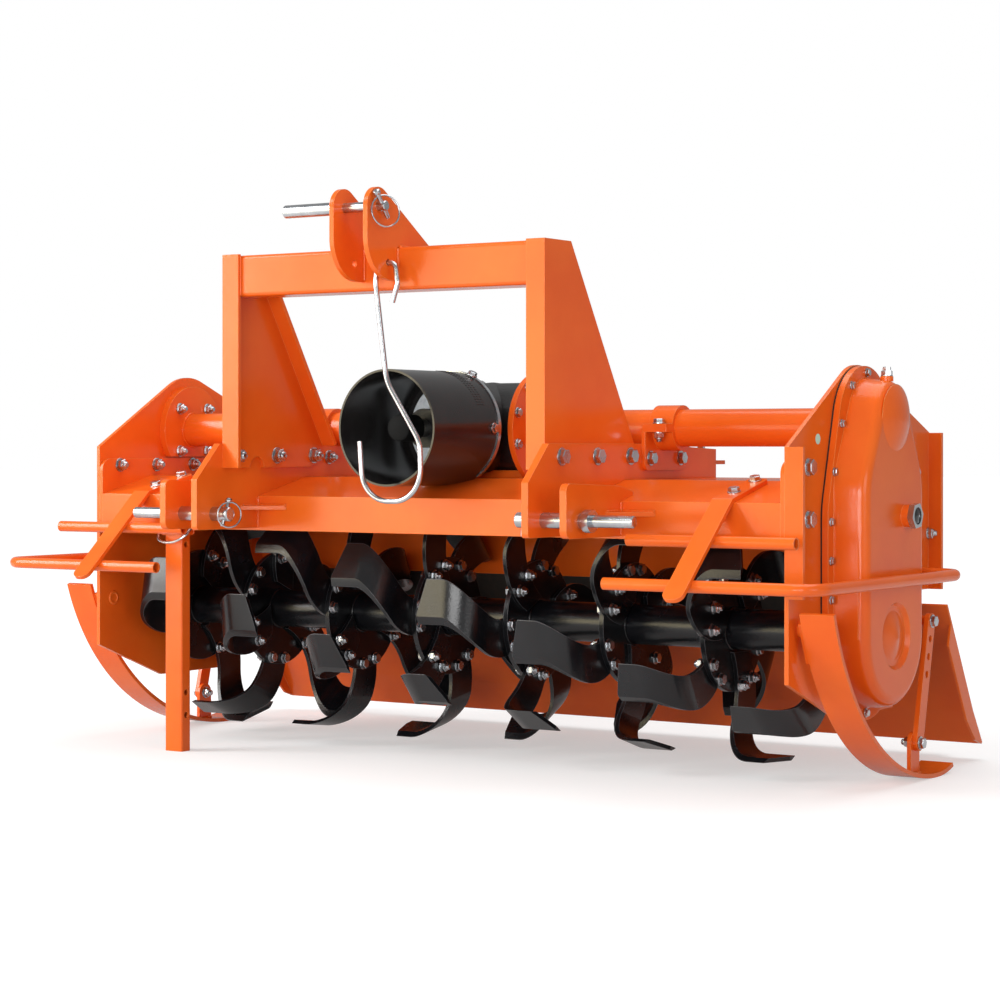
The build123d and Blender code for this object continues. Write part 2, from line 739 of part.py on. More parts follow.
def case_outline(top_z, top_r, waist_z, foot_r):
    """Pear-shaped outline round the axle and the rotor shaft."""
    with BuildSketch(Plane.XY, mode=Mode.PRIVATE) as outline:
        for z, radius in ((top_z, top_r), (waist_z, foot_r), (ROTOR_Z, foot_r)):
            with Locations((0, z)):
                Circle(radius)
        make_hull()
    return outline.sketch


rim = case_outline(AXLE_Z, CASE_TOP_R, CASE_WAIST_Z, CASE_FOOT_R)
body_top_z = AXLE_Z + CASE_TOP_R - CASE_LIP - CASE_BODY_TOP_R


with BuildPart() as case_gasket:
    with BuildSketch(at_x(PLATE_OUT)):
        add(rim)
    extrude(amount=GASKET_T)
save(case_gasket.part, "chain_case_gasket")

with BuildPart() as chain_case:
    with BuildSketch(at_x(GASKET_OUT)):
        add(rim)
    extrude(amount=CASE_FLANGE_T)
    draft = CASE_DEPTH * tan(radians(CASE_DRAFT))
    for x, inset in ((GASKET_OUT + CASE_FLANGE_T, 0), (CASE_FACE, draft)):
        with BuildSketch(at_x(x)):
            add(
                case_outline(
                    body_top_z, CASE_BODY_TOP_R - inset, CASE_BODY_WAIST_Z, CASE_FOOT_R - CASE_LIP - inset
                )
            )
    loft()
    fillet(chain_case.faces().sort_by(Axis.X)[-1].edges(), CASE_ROUND)
    with BuildSketch(Plane.XY.offset(body_top_z)):
        with BuildLine():
            crown = ThreePointArc(
                (CASE_FACE - 1, -CROWN_BULGE_R),
                (CASE_FACE + CROWN_BULGE_T, 0),
                (CASE_FACE - 1, CROWN_BULGE_R),
            )
            Line(crown @ 1, crown @ 0)
        make_face()
        with Locations((CASE_FACE, -CROWN_BULGE_R)):
            Rectangle(4 * CROWN_BULGE_T, 2 * CROWN_BULGE_R, mode=Mode.SUBTRACT)
    revolve(axis=Axis((0, 0, body_top_z), (1, 0, 0)))
    with BuildSketch(across(CASE_FACE, 0, ROTOR_Z)):
        Circle(DISH_R)
    extrude(amount=-DISH_DEPTH, taper=40, mode=Mode.SUBTRACT)
    with BuildSketch(Plane.XY.offset(ROTOR_Z)):
        Polygon(
            (CASE_FACE - DISH_DEPTH, 0),
            (CASE_FACE - DISH_DEPTH, DISH_CONE_R),
            (CASE_FACE - DISH_DEPTH + DISH_CONE_T, 0),
            align=None,
        )
    revolve(axis=Axis((0, 0, ROTOR_Z), (1, 0, 0)))
    with BuildSketch(across(CASE_FACE, SIGHT_Y, SIGHT_Z)):
        Circle(SIGHT_R)
    extrude(amount=SIGHT_T)
save(chain_case.part, "chain_case")

with BuildPart() as oil_sight:
    with BuildSketch(across(CASE_FACE + SIGHT_T, SIGHT_Y, SIGHT_Z)):
        Circle(SIGHT_R - 3)
    extrude(amount=4)
    chamfer(oil_sight.faces().sort_by(Axis.X)[-1].edges(), 1.5)
save(oil_sight.part, "oil_sight")

# ---------------------------------------------------------------- side guards
arm_corner = (BEAM_FRONT, BEAM_TOP)


def bar_z(y):
    """Axis height of a guard bar seated under the arm at y."""
    return BEAM_TOP - (BEAM_FRONT - y) * tan(radians(ARM_ANGLE)) - BAR_R / cos(radians(ARM_ANGLE))


for side, word in SIDES:
    with BuildPart() as guard_arm:
        with BuildSketch(at_x(ARM_X - ARM_W / 2)):
            add(
                sheet(
                    (
                        (ARM_TIP, BEAM_TOP - (BEAM_FRONT - ARM_TIP) * tan(radians(ARM_ANGLE))),
                        arm_corner,
                        (ARM_REAR, slope_z(ARM_REAR)),
                    ),
                    ARM_T,
                    Side.LEFT,
                )
            )
        extrude(amount=ARM_W)
        fillet(guard_arm.faces().sort_by(Axis.Y)[0].edges().filter_by(Axis.X, reverse=True), ARM_W / 2 - 4)
        fillet(guard_arm.faces().sort_by(Axis.Y)[-1].edges().filter_by(Axis.X, reverse=True), ARM_W / 4)
    save(on_side(guard_arm.part, side), f"guard_arm_{word}")

    with BuildPart() as upper_bar:
        with BuildSketch(across(BAR_INNER_X, UPPER_BAR_Y, bar_z(UPPER_BAR_Y))):
            Circle(BAR_R)
            Circle(BAR_R - BAR_WALL, mode=Mode.SUBTRACT)
        extrude(amount=UPPER_BAR_OUTER_X - BAR_INNER_X)
    save(on_side(upper_bar.part, side), f"guard_bar_{word}")

    with BuildPart() as guard_hoop:
        with BuildLine(Plane.XY.offset(bar_z(LOWER_BAR_Y))) as hoop_line:
            FilletPolyline(
                (BAR_INNER_X, LOWER_BAR_Y),
                (HOOP_X, LOWER_BAR_Y),
                (HOOP_X, HOOP_REAR),
                (PLATE_OUT, HOOP_REAR),
                radius=HOOP_R,
            )
        with BuildSketch(Plane(origin=hoop_line.line @ 0, z_dir=hoop_line.line % 0)):
            Circle(BAR_R)
        sweep()
        with BuildSketch(Plane(origin=hoop_line.line @ 0, z_dir=hoop_line.line % 0)):
            Circle(BAR_R - BAR_WALL)
        extrude(amount=BAR_BORE, mode=Mode.SUBTRACT)
    save(on_side(guard_hoop.part, side), f"guard_hoop_{word}")

# ---------------------------------------------------------------- skids and their stays
for side, word in SIDES:
    with BuildPart() as skid:
        with BuildSketch(at_x(SKID_INNER_X)):
            with BuildLine():
                CenterArc((SKID_Y, SKID_R), SKID_R, 270, -SKID_RISE)
                CenterArc((SKID_Y, SKID_HEEL_R), SKID_HEEL_R, 270, SKID_HEEL)
                offset(amount=SKID_T, side=Side.RIGHT)
            make_face()
        extrude(amount=SKID_W)
        with BuildSketch(at_x(SKID_INNER_X - LUG_T)):
            with Locations((LUG_Y, LUG_Z)):
                Circle(LUG_R)
            with PolarLocations(0, 1):
                for lift in (SKID_RISE - 3, SKID_RISE - 12):
                    spot = Vector(SKID_Y, SKID_R) + Vector(0, SKID_T - SKID_R / 1).rotate(Axis.Z, -lift)
                    with Locations((spot.X, spot.Y)):
                        Circle(SKID_T / 2)
            make_hull()
        extrude(amount=LUG_T)
        with BuildSketch(across(PLATE_OUT, LUG_Y, LUG_Z)):
            Circle(LUG_R - 3)
        extrude(amount=SKID_INNER_X - LUG_T - PLATE_OUT)
        with BuildSketch(at_x(TAB_X - TAB_T / 2)):
            with Locations((TAB_Y, TAB_Z)):
                Circle(TAB_W / 2)
            with Locations((TAB_Y, TAB_Z / 2 + SKID_T / 2)):
                Rectangle(TAB_W, TAB_Z - SKID_T)
        extrude(amount=TAB_T)
    save(on_side(skid.part, side), f"skid_{word}")

    with BuildPart() as skid_stay:
        stay_run = Vector(STAY_TOP_Y - TAB_Y, STAY_TOP_Z - TAB_Z)
        stay_plane = Plane(
            origin=(TAB_X + TAB_T / 2, TAB_Y, TAB_Z), x_dir=(0, stay_run.X, stay_run.Y), z_dir=(1, 0, 0)
        )
        with BuildSketch(stay_plane):
            with Locations((stay_run.length / 2, 0)):
                SlotCenterToCenter(stay_run.length, STAY_W)
            for step in range(1, 4):
                with Locations((stay_run.length - step * STAY_STEP, 0)):
                    Circle(BOLT_R, mode=Mode.SUBTRACT)
        extrude(amount=STAY_T)
    save(on_side(skid_stay.part, side), f"skid_stay_{word}")

# ---------------------------------------------------------------- parking stand
leg_y = BEAM_FRONT - SLEEVE_WALL - SEAT - LEG_D / 2
with BuildPart() as stand_sleeve:
    with BuildSketch(Plane.XY.offset(SLEEVE_FOOT)):
        with Locations((LEG_X, leg_y)):
            Rectangle(LEG_W + 2 * (SLEEVE_WALL + SEAT), LEG_D + 2 * (SLEEVE_WALL + SEAT))
            Rectangle(LEG_W + 2 * SEAT, LEG_D + 2 * SEAT, mode=Mode.SUBTRACT)
    extrude(amount=SLEEVE_TOP - SLEEVE_FOOT)
save(stand_sleeve.part, "stand_sleeve")

with BuildPart() as stand_leg:
    with BuildSketch(Plane.XY):
        with Locations((LEG_X, leg_y)):
            RectangleRounded(LEG_W, LEG_D, LEG_WALL)
            Rectangle(LEG_W - 2 * LEG_WALL, LEG_D - 2 * LEG_WALL, mode=Mode.SUBTRACT)
    extrude(amount=LEG_TOP)
    for z in LEG_HOLES_Z:
        with BuildSketch(across(LEG_X, leg_y, z)):
            Circle(BOLT_R - 1)
        extrude(amount=LEG_W, both=True, mode=Mode.SUBTRACT)
save(stand_leg.part, "stand_leg")

with BuildPart() as stand_lock:
    lock_x = LEG_X + LEG_W / 2 + SEAT + SLEEVE_WALL
    with BuildSketch(across(lock_x, leg_y, LOCK_Z)):
        Circle(2 * LOCK_R)
    extrude(amount=2 * LOCK_R)
    with BuildSketch(across(lock_x + 2 * LOCK_R, leg_y, LOCK_Z)):
        Circle(LOCK_R)
    extrude(amount=2 * LOCK_R)
save(stand_lock.part, "stand_lock")

# ---------------------------------------------------------------- tailboard
board_run = Vector(cos(radians(BOARD_ANGLE)), -sin(radians(BOARD_ANGLE)))
board_out = Vector(sin(radians(BOARD_ANGLE)), cos(radians(BOARD_ANGLE)))
hinge = Vector(HINGE_Y, HINGE_Z)
board_top = hinge + board_run * BOARD_START
board_fold = hinge + board_run * BOARD_FOLD
fin_top = hinge + board_run * FIN_START
with BuildPart() as tailboard:
    with BuildSketch(at_x(-TAIL_HALF)):
        add(
            sheet(
                (
                    (board_top.X, board_top.Y),
                    (board_fold.X, board_fold.Y),
                    (BOARD_FOOT_Y, BOARD_FOOT_Z),
                ),
                TAIL_T,
                Side.LEFT,
            )
        )
    extrude(amount=2 * TAIL_HALF)
    for x in (-TAIL_HALF, TAIL_HALF - FIN_T):
        fin_lip = fin_top + board_run * FIN_W - board_out * FIN_W
        fold_lip = board_fold - board_out * FIN_W
        with BuildSketch(at_x(x)):
            Polygon(
                (fin_top.X, fin_top.Y),
                (fin_lip.X, fin_lip.Y),
                (fold_lip.X, fold_lip.Y),
                (BOARD_FOOT_Y - FIN_W, BOARD_FOOT_Z + FIN_W / 3),
                (BOARD_FOOT_Y, BOARD_FOOT_Z),
                (board_fold.X, board_fold.Y),
                align=None,
            )
        extrude(amount=FIN_T)
    flap_run = Vector(BOARD_FOOT_Y, BOARD_FOOT_Z) - board_fold
    weld_spot = Vector(BOARD_FOOT_Y, BOARD_FOOT_Z) - flap_run.normalized() * STIFF_RISE
    with BuildSketch(at_x(-STIFF_HALF)):
        add(
            sheet(
                (
                    (weld_spot.X + TAIL_T / 2, weld_spot.Y),
                    (HALF_LENGTH, weld_spot.Y),
                    (HALF_LENGTH, weld_spot.Y + STIFF_DEPTH),
                ),
                TAIL_T,
                Side.LEFT,
            )
        )
    extrude(amount=2 * STIFF_HALF)
    for x in KNUCKLES_X:
        for step in (-KNUCKLE_W - 1, KNUCKLE_W + 1):
            with BuildSketch(at_x(x + step - KNUCKLE_W / 2)):
                with Locations((HINGE_Y, HINGE_Z)):
                    Circle(KNUCKLE_R)
                root_spot = board_top + board_run * TAIL_T * 2 + board_out * TAIL_T / 2
                with Locations((root_spot.X, root_spot.Y)):
                    Circle(TAIL_T / 2)
                make_hull()
                with Locations((HINGE_Y, HINGE_Z)):
                    Circle(HINGE_ROD_R + FIT, mode=Mode.SUBTRACT)
            extrude(amount=KNUCKLE_W)
    for side, word in SIDES:
        lug_foot = ((ROD_PIN_Y - HINGE_Y) * board_run.X + (ROD_PIN_Z - HINGE_Z) * board_run.Y)
        lug_mid = hinge + board_run * lug_foot + board_out * TAIL_T
        lug_low = lug_mid + board_run * 2 * ROD_EYE_R
        lug_high = lug_mid - board_run * 2 * ROD_EYE_R
        inner = ROD_X - ROD_EYE_T / 2 - LUG_T - 1
        with BuildSketch(at_x(side * inner)):
            with Locations((ROD_PIN_Y, ROD_PIN_Z)):
                Circle(ROD_EYE_R)
            for spot in (lug_low, lug_high):
                with Locations((spot.X, spot.Y)):
                    Circle(TAIL_T / 2)
            make_hull()
        extrude(amount=side * LUG_T)
        with BuildSketch(across(side * inner, ROD_PIN_Y, ROD_PIN_Z)):
            Circle(ROD_PIN_R)
        extrude(amount=side * (LUG_T + ROD_EYE_T + 8))
save(tailboard.part, "tailboard")

with BuildPart() as hinge_rod:
    reach = KNUCKLES_X[-1] + 1.5 * KNUCKLE_W + 8
    with BuildSketch(across(-reach, HINGE_Y, HINGE_Z)):
        Circle(HINGE_ROD_R)
    extrude(amount=2 * reach)
save(hinge_rod.part, "tail_hinge_rod")

rod_run = Vector(GUIDE_Y - ROD_PIN_Y, GUIDE_Z - ROD_PIN_Z)
for side, word in SIDES:
    with BuildPart() as tail_rod:
        with BuildSketch(across(ROD_X - ROD_EYE_T / 2, ROD_PIN_Y, ROD_PIN_Z)):
            Circle(ROD_EYE_R)
        extrude(amount=ROD_EYE_T)
        with BuildSketch(
            Plane(
                origin=(ROD_X, ROD_PIN_Y, ROD_PIN_Z), x_dir=(1, 0, 0), z_dir=(0, rod_run.X, rod_run.Y)
            )
        ):
            Circle(ROD_R)
        extrude(amount=rod_run.length + ROD_OVER)
        with BuildSketch(across(ROD_X - ROD_EYE_T / 2, ROD_PIN_Y, ROD_PIN_Z)):
            Circle(ROD_PIN_R + FIT)
        extrude(amount=ROD_EYE_T, mode=Mode.SUBTRACT)
        seat = rod_run.normalized() * (rod_run.length + GUIDE_T)
        with BuildSketch(
            Plane(
                origin=(ROD_X, ROD_PIN_Y + seat.X, ROD_PIN_Z + seat.Y),
                x_dir=(1, 0, 0),
                z_dir=(0, rod_run.X, rod_run.Y),
            )
        ):
            Circle(2 * ROD_R)
        extrude(amount=2 * ROD_R)
    save(on_side(tail_rod.part, side), f"tail_rod_{word}")

    with BuildPart() as rod_guide:
        with BuildSketch(Plane.XY.offset(GUIDE_Z - GUIDE_T / 2)):
            guide_inner = ROD_X - 2 * GUIDE_SLOT_R
            Polygon(
                (guide_inner, HOOD_REAR - 4 * GUIDE_SLOT_R),
                (LINK_X, HOOD_REAR - 4 * GUIDE_SLOT_R),
                (LINK_X, GUIDE_Y + GUIDE_SLOT_L / 2 + GUIDE_T),
                (guide_inner, GUIDE_Y + GUIDE_SLOT_L / 2 + GUIDE_T),
                align=None,
            )
            with Locations((ROD_X, GUIDE_Y)):
                SlotOverall(GUIDE_SLOT_L, 2 * GUIDE_SLOT_R, rotation=90, mode=Mode.SUBTRACT)
        extrude(amount=GUIDE_T)
    save(on_side(rod_guide.part, side), f"rod_guide_{word}")

# ---------------------------------------------------------------- rotor
with BuildPart() as rotor_shaft:
    with BuildSketch(across(-PLATE_OUT - BEARING_T / 2 + 2, 0, ROTOR_Z)):
        Circle(ROTOR_STUB_R)
    extrude(amount=2 * PLATE_OUT + BEARING_T / 2 - 2 - SEAT)
    with BuildSketch(across(-ROTOR_END_X, 0, ROTOR_Z)):
        Circle(ROTOR_TUBE_R)
    extrude(amount=2 * ROTOR_END_X)
    for number in range(FLANGE_COUNT):
        with BuildSketch(across(FLANGE_FIRST + number * FLANGE_PITCH - FLANGE_T / 2, 0, ROTOR_Z)):
            Circle(FLANGE_R)
        extrude(amount=FLANGE_T)
save(rotor_shaft.part, "rotor_shaft")


with BuildPart(mode=Mode.PRIVATE) as blade:
    # A sabre for the +X face of a flange, its tip bent round to +X and trailing the turn of the rotor.
    with BuildSketch(Plane.XZ.offset(-BLADE_REACH)):
        with BuildLine():
            FilletPolyline(
                (0, ROTOR_TUBE_R + FLANGE_T / 2),
                (0, BLADE_REACH),
                (BLADE_SPAN, BLADE_REACH),
                radius=BLADE_BEND,
            )
            offset(amount=BLADE_T, side=Side.RIGHT)
        make_face()
    extrude(amount=2 * BLADE_REACH)
    root_z = ROTOR_TUBE_R + FLANGE_T / 2
    mid_z = (root_z + BLADE_REACH) / 2
    with BuildSketch(at_x(-1)):
        with BuildLine():
            back = ThreePointArc(
                (BLADE_ROOT_Y - BLADE_ROOT_W / 2, root_z),
                (BLADE_MID_Y - BLADE_W / 2, mid_z),
                (BLADE_TIP_Y - BLADE_W / 2, BLADE_REACH + 1),
            )
            edge = ThreePointArc(
                (BLADE_TIP_Y + BLADE_W / 2, BLADE_REACH + 1),
                (BLADE_MID_Y + BLADE_W / 2, mid_z),
                (BLADE_ROOT_Y + BLADE_ROOT_W / 2, root_z),
            )
            Line(back @ 1, edge @ 0)
            Line(edge @ 1, back @ 0)
        make_face()
    extrude(amount=BLADE_SPAN + 2, mode=Mode.INTERSECT)
    with BuildSketch(Plane.XY.offset(BLADE_REACH - BLADE_T - 1)):
        Polygon(
            (BLADE_SPAN + 1, BLADE_TIP_Y - BLADE_W / 2),
            (BLADE_SPAN + 1, BLADE_TIP_Y + BLADE_W),
            (BLADE_SPAN - 1.5 * BLADE_SLANT, BLADE_TIP_Y + BLADE_W),
            align=None,
        )
    extrude(amount=BLADE_T + 2, mode=Mode.SUBTRACT)


def reel_of_blades(blank, face, flanges, start):
    """Three blades on one face of each named flange, every flange turned on from the last."""
    with BuildPart(mode=Mode.PRIVATE) as reel:
        for number in flanges:
            face_x = FLANGE_FIRST + number * FLANGE_PITCH + face * FLANGE_T / 2
            for turn in range(BLADES_A_SIDE):
                angle = start + number * FLANGE_TWIST + turn * 360 / BLADES_A_SIDE
                with Locations(Location((face_x, 0, ROTOR_Z), (angle, 0, 0))):
                    add(blank)
    return reel.part


save(reel_of_blades(blade.part, RIGHT, range(FLANGE_COUNT - 1), BLADE_PHASE), "blades_right")
save(
    reel_of_blades(
        mirror(blade.part, Plane.YZ),
        LEFT,
        range(1, FLANGE_COUNT),
        BLADE_PHASE + 180 / BLADES_A_SIDE,
    ),
    "blades_left",
)
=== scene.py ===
# %% [markdown]
# # A rotavator for a compact tractor
# This lesson dresses a finished engineering model for a studio picture. The frame, the rotor and every
# moving body are already exact, so nothing is moved here. We add what a fabricator bolts and welds on,
# and we give each surface the finish it has in the workshop: powder coat, enamel, zinc, cast metal.

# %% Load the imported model
import json
import math

import bmesh
import bpy
from mathutils import Euler, Matrix, Vector


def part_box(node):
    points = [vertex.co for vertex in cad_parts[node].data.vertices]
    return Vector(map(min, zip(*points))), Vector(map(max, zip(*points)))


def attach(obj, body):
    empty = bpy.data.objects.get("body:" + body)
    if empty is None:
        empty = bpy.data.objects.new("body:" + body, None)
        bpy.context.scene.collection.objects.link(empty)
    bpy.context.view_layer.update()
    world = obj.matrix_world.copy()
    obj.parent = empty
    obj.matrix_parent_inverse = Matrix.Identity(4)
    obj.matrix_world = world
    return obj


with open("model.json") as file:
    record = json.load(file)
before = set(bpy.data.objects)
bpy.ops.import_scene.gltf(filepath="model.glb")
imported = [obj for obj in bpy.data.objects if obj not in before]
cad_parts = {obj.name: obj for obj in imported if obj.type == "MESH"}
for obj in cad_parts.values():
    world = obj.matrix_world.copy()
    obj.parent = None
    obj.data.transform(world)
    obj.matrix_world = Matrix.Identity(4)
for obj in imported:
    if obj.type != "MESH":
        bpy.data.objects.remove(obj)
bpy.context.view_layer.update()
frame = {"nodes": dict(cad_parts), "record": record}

nodes = frame["nodes"]

# %% [markdown]
# ## The camera
# A product picture of a wide machine is taken from far away with a long lens, so that parallel tubes stay
# nearly parallel. The camera stands level at the height of the hood, and a small vertical shift slides the
# machine up in the frame. Tilting the camera instead would make the upright posts lean.

# %% Camera
CAMERA_TURN = 33.1  # degrees round the machine, from straight ahead
LENS = 88.8

camera = bpy.data.objects.new("camera", bpy.data.cameras.new("camera"))
bpy.context.scene.collection.objects.link(camera)
camera.location = (2.743, -4.172, 0.626)
camera.rotation_euler = Euler((math.radians(90), 0, math.radians(CAMERA_TURN)))
camera.data.sensor_width = 36
camera.data.lens = LENS
camera.data.shift_x = -0.0018
camera.data.shift_y = -0.0554
bpy.context.scene.camera = camera
print("lens:", camera.data.lens, "mm")

# %% [markdown]
# ## Building materials from nodes
# Every finish below is a small network of nodes. Adding a node always takes the same steps: make it, set its
# choices, fill or link its sockets. One short function does that, so that each material reads as a recipe.
# Colours are written as the hex codes of a paint card. Blender mixes light in linear values, so a second
# function turns each code into them.


# %% Node and colour helpers
def linear(code):
    """Linear red, green, blue, alpha of a hex colour."""
    values = [int(code[i : i + 2], 16) / 255 for i in (1, 3, 5)]
    return tuple(v / 12.92 if v <= 0.04045 else ((v + 0.055) / 1.055) ** 2.4 for v in values) + (1,)


def node(owner, kind, settings=None, **inputs):
    """Adds a node; a socket given a node's output is linked, and any other value is filled in."""
    made = owner.node_tree.nodes.new(kind)
    for name, value in (settings or {}).items():
        setattr(made, name, value)
    for name, value in inputs.items():
        socket = made.inputs[int(name[1:])] if name[1:].isdigit() else made.inputs[name.replace("_", " ")]
        if isinstance(value, bpy.types.NodeSocket):
            owner.node_tree.links.new(value, socket)
        else:
            socket.default_value = value
    return made


def blank(owner):
    """Gives a material or a world an empty tree of nodes."""
    owner.use_nodes = True
    owner.node_tree.nodes.clear()
    return owner


# %% [markdown]
# A coat is never one flat colour. It drifts between two close shades over patches, and its gloss drifts with
# it. A fine grain raises the surface a little. Where the rounded normal and the flat one part, at the
# corners,
# a paler colour blends in: a painted highlight for the light that rounded edges catch, and on the blades also
# wear. The rounded normal shades the corners too.


# %% A coat of paint, plating or oxide
REFRACTION = 1.5  # index of refraction of paint and plastic
GLOSS_DRIFT = 0.06  # how far the roughness drifts


def coat(name, colours, roughness, metallic=0.0, patch=120, grain=1.0, bump=0.1, edge=None, specular=0.5):
    """A finish. patch and grain are sizes in millimetres; edge is the colour and width of the paler corners,
    a painted highlight that on the blades is also wear.
    """
    material = blank(bpy.data.materials.new(name))
    place = node(material, "ShaderNodeTexCoord").outputs["Object"]
    drift = node(material, "ShaderNodeTexNoise", Vector=place, Scale=1000 / patch, Detail=4.0).outputs["Fac"]
    fine = node(material, "ShaderNodeTexNoise", Vector=place, Scale=1000 / grain, Detail=2.0).outputs["Fac"]
    shade = node(material, "ShaderNodeValToRGB", Fac=drift)
    for stop, colour, at in zip(shade.color_ramp.elements, colours, (0.35, 0.65)):
        stop.position, stop.color = at, linear(colour)
    colour, relief = shade.outputs["Color"], {}
    if edge:
        # the edge colour is a painted highlight on the corners, and on the blades also wear
        edge_wear_and_highlight, edge_width = edge
        soft = node(material, "ShaderNodeBevel", {"samples": 4}, Radius=edge_width / 1000).outputs["Normal"]
        face = node(material, "ShaderNodeNewGeometry").outputs["Normal"]
        turn = node(material, "ShaderNodeVectorMath", {"operation": "DOT_PRODUCT"}, _0=soft, _1=face)
        # mask of the paler corners: painted highlight, and on the blades also wear
        wear_and_highlight = node(
            material, "ShaderNodeMapRange", Value=turn.outputs["Value"], From_Min=0.97, From_Max=0.8,
            To_Min=0.0, To_Max=0.7,
        )
        blend = node(
            material, "ShaderNodeMix", {"data_type": "RGBA"}, _0=wear_and_highlight.outputs["Result"], _6=colour,
            _7=linear(edge_wear_and_highlight),
        )
        colour, relief = blend.outputs[2], {"Normal": soft}
    gloss = node(
        material, "ShaderNodeMapRange", Value=drift, From_Min=0.3, From_Max=0.7,
        To_Min=roughness - GLOSS_DRIFT / 2, To_Max=roughness + GLOSS_DRIFT / 2,
    ).outputs["Result"]
    relief = node(material, "ShaderNodeBump", Height=fine, Strength=bump, Distance=grain / 4000, **relief)
    shader = node(
        material, "ShaderNodeBsdfPrincipled", Base_Color=colour, Roughness=gloss,
        Metallic=metallic, IOR=REFRACTION, Specular_IOR_Level=specular, Normal=relief.outputs["Normal"],
    )
    node(material, "ShaderNodeOutputMaterial", Surface=shader.outputs["BSDF"])
    return material


# %% [markdown]
# ## The finishes
# Each recipe below starts from the real surface: what it is made of, how it was coated, and what that gives
# the eye. Paints and plastics take the usual index of refraction of 1.5. That is Blender's default too, so
# the metals share it.

# %% Finishes and where they go
# powder coat: polyester powder baked on blasted steel. Wet-looking gloss over a faint orange-peel ripple.
# The paler orange on its corners is a painted highlight.
orange = coat(
    "powder_coat_orange", ("#E55F19", "#EB691E"), 0.19, patch=160, grain=5.0, bump=0.14,
    edge=("#F79C4E", 2.2), specular=0.34,
)
# two-pack enamel sprayed on forged blades and tube: satin. The grey along the edges is partly wear, rubbed
# to bare steel on the cutting edges, and partly a painted highlight.
satin_black = coat(
    "satin_black_enamel", ("#0B0C0F", "#131418"), 0.25, patch=60, grain=4.0, bump=0.25,
    edge=("#7C7C80", 1.6),
)
# the same enamel on sand-cast iron: the sand's grain shows through and breaks up the gloss.
gear_black = coat("cast_iron_black_enamel", ("#131314", "#1D1D1E"), 0.42, patch=40, grain=4.0, bump=0.8)
# polypropylene tube, injection moulded: even, slightly waxy sheen.
shield_black = coat(
    "moulded_black_polypropylene", ("#1D1B1B", "#262323"), 0.2, patch=80, grain=3.0, bump=0.1
)
# gasket cut from cork and rubber crumb: dull and nearly black.
gasket = coat("cork_rubber_gasket", ("#17130F", "#241D17"), 0.8, patch=12, grain=1.5, bump=0.5)
# electroplated zinc with a clear passivate: bright blue-grey metal, a little cloudy.
zinc = coat(
    "bright_zinc_plate", ("#B4B7BB", "#CACDD0"), 0.26, metallic=1.0, patch=30, grain=8.0, bump=0.006
)
# turned carbon steel under a film of oil.
machined = coat("machined_steel_oiled", ("#8E8C88", "#AFADA8"), 0.3, metallic=1.0, patch=20, grain=1.0)
# tinted polycarbonate lens over dark oil: black and very glossy.
sight_black = coat("tinted_sight_glass", ("#08090A", "#0F1011"), 0.1, patch=10, grain=2.0, bump=0.02)
# bare aluminium casting, bead blasted, with small dark pits. Its two shades are lifted nearly to white:
# painted light that makes up for the shade inside the shield.
cast_grey_painted_light = coat(
    "bead_blasted_aluminium_painted_light", ("#DCE3E8", "#F2F5F7"), 0.5, metallic=0.1, patch=6, grain=3.0, bump=0.4
)
# soft rubbery plastic of the stub cap: black and dull, so it stays dark inside the shield.
cap_black = coat(
    "dull_black_plastic", ("#060606", "#090909"), 0.8, patch=30, grain=2.0, bump=0.1, specular=0.2
)
# vinyl dot without any print, pale mint.
mint = coat("mint_vinyl_dot", ("#A9DCC9", "#BCE6D6"), 0.35, patch=20, grain=1.0, bump=0.05)

finishes = {
    "orange_paint": orange, "black_paint": satin_black, "black_plastic": shield_black,
    "gasket_rubber": gasket, "machined_steel": machined, "zinc_steel": zinc, "sight_glass": sight_black,
}
for part in frame["record"]["subparts"]:
    for place in nodes[part["node"]].material_slots:
        place.material = finishes[part["material_slot"]]
for place in nodes["gearbox"].material_slots:
    place.material = gear_black
print("finishes:", ", ".join(sorted(material.name for material in finishes.values())))

# %% [markdown]
# ## The studio
# The machine stands on white paper under soft light. The paper glows a little, so that it reads as white and
# still holds the soft shadow. The camera sees all of that glow and polished surfaces mirror half of it, but
# it lights no dull surface. It glows more far away, where the lamps no longer reach it.

# %% Floor paper
floor = bpy.data.objects.new("studio_floor", bpy.data.meshes.new("studio_floor"))
form = bmesh.new()
bmesh.ops.create_grid(form, x_segments=1, y_segments=1, size=40)
form.to_mesh(floor.data)
form.free()
bpy.context.scene.collection.objects.link(floor)

paper = blank(bpy.data.materials.new("studio_floor_paper"))
path = node(paper, "ShaderNodeLightPath").outputs
seen = node(
    paper, "ShaderNodeMath", {"operation": "MULTIPLY_ADD"}, _0=path["Is Glossy Ray"], _1=0.5,
    _2=path["Is Camera Ray"],
)
lit = node(paper, "ShaderNodeBsdfDiffuse", Color=(0.6, 0.6, 0.6, 1))
here = node(paper, "ShaderNodeTexCoord").outputs["Object"]
away = node(paper, "ShaderNodeVectorMath", {"operation": "LENGTH"}, _0=here)
glow = node(
    paper, "ShaderNodeMapRange", Value=away.outputs["Value"], From_Min=0.9, From_Max=4.5, To_Min=0.46,
    To_Max=0.82,
)
bright = node(paper, "ShaderNodeEmission", Color=(1, 1, 1, 1), Strength=glow.outputs["Result"])
both = node(paper, "ShaderNodeAddShader", _0=lit.outputs[0], _1=bright.outputs[0])
mix = node(paper, "ShaderNodeMixShader", _0=seen.outputs[0], _1=lit.outputs[0], _2=both.outputs[0])
node(paper, "ShaderNodeOutputMaterial", Surface=mix.outputs[0])
floor.data.materials.append(paper)

# %% [markdown]
# ## Sky and lamps
# The sky is plain white to the camera and much softer as a light. A tall softbox on the left of the camera
# lights everything that faces the tractor, with a small warm card beside it. A low fill in front lifts the
# black steel under the hood. The right side and the top get less, and that difference makes the folded sheets
# look solid.

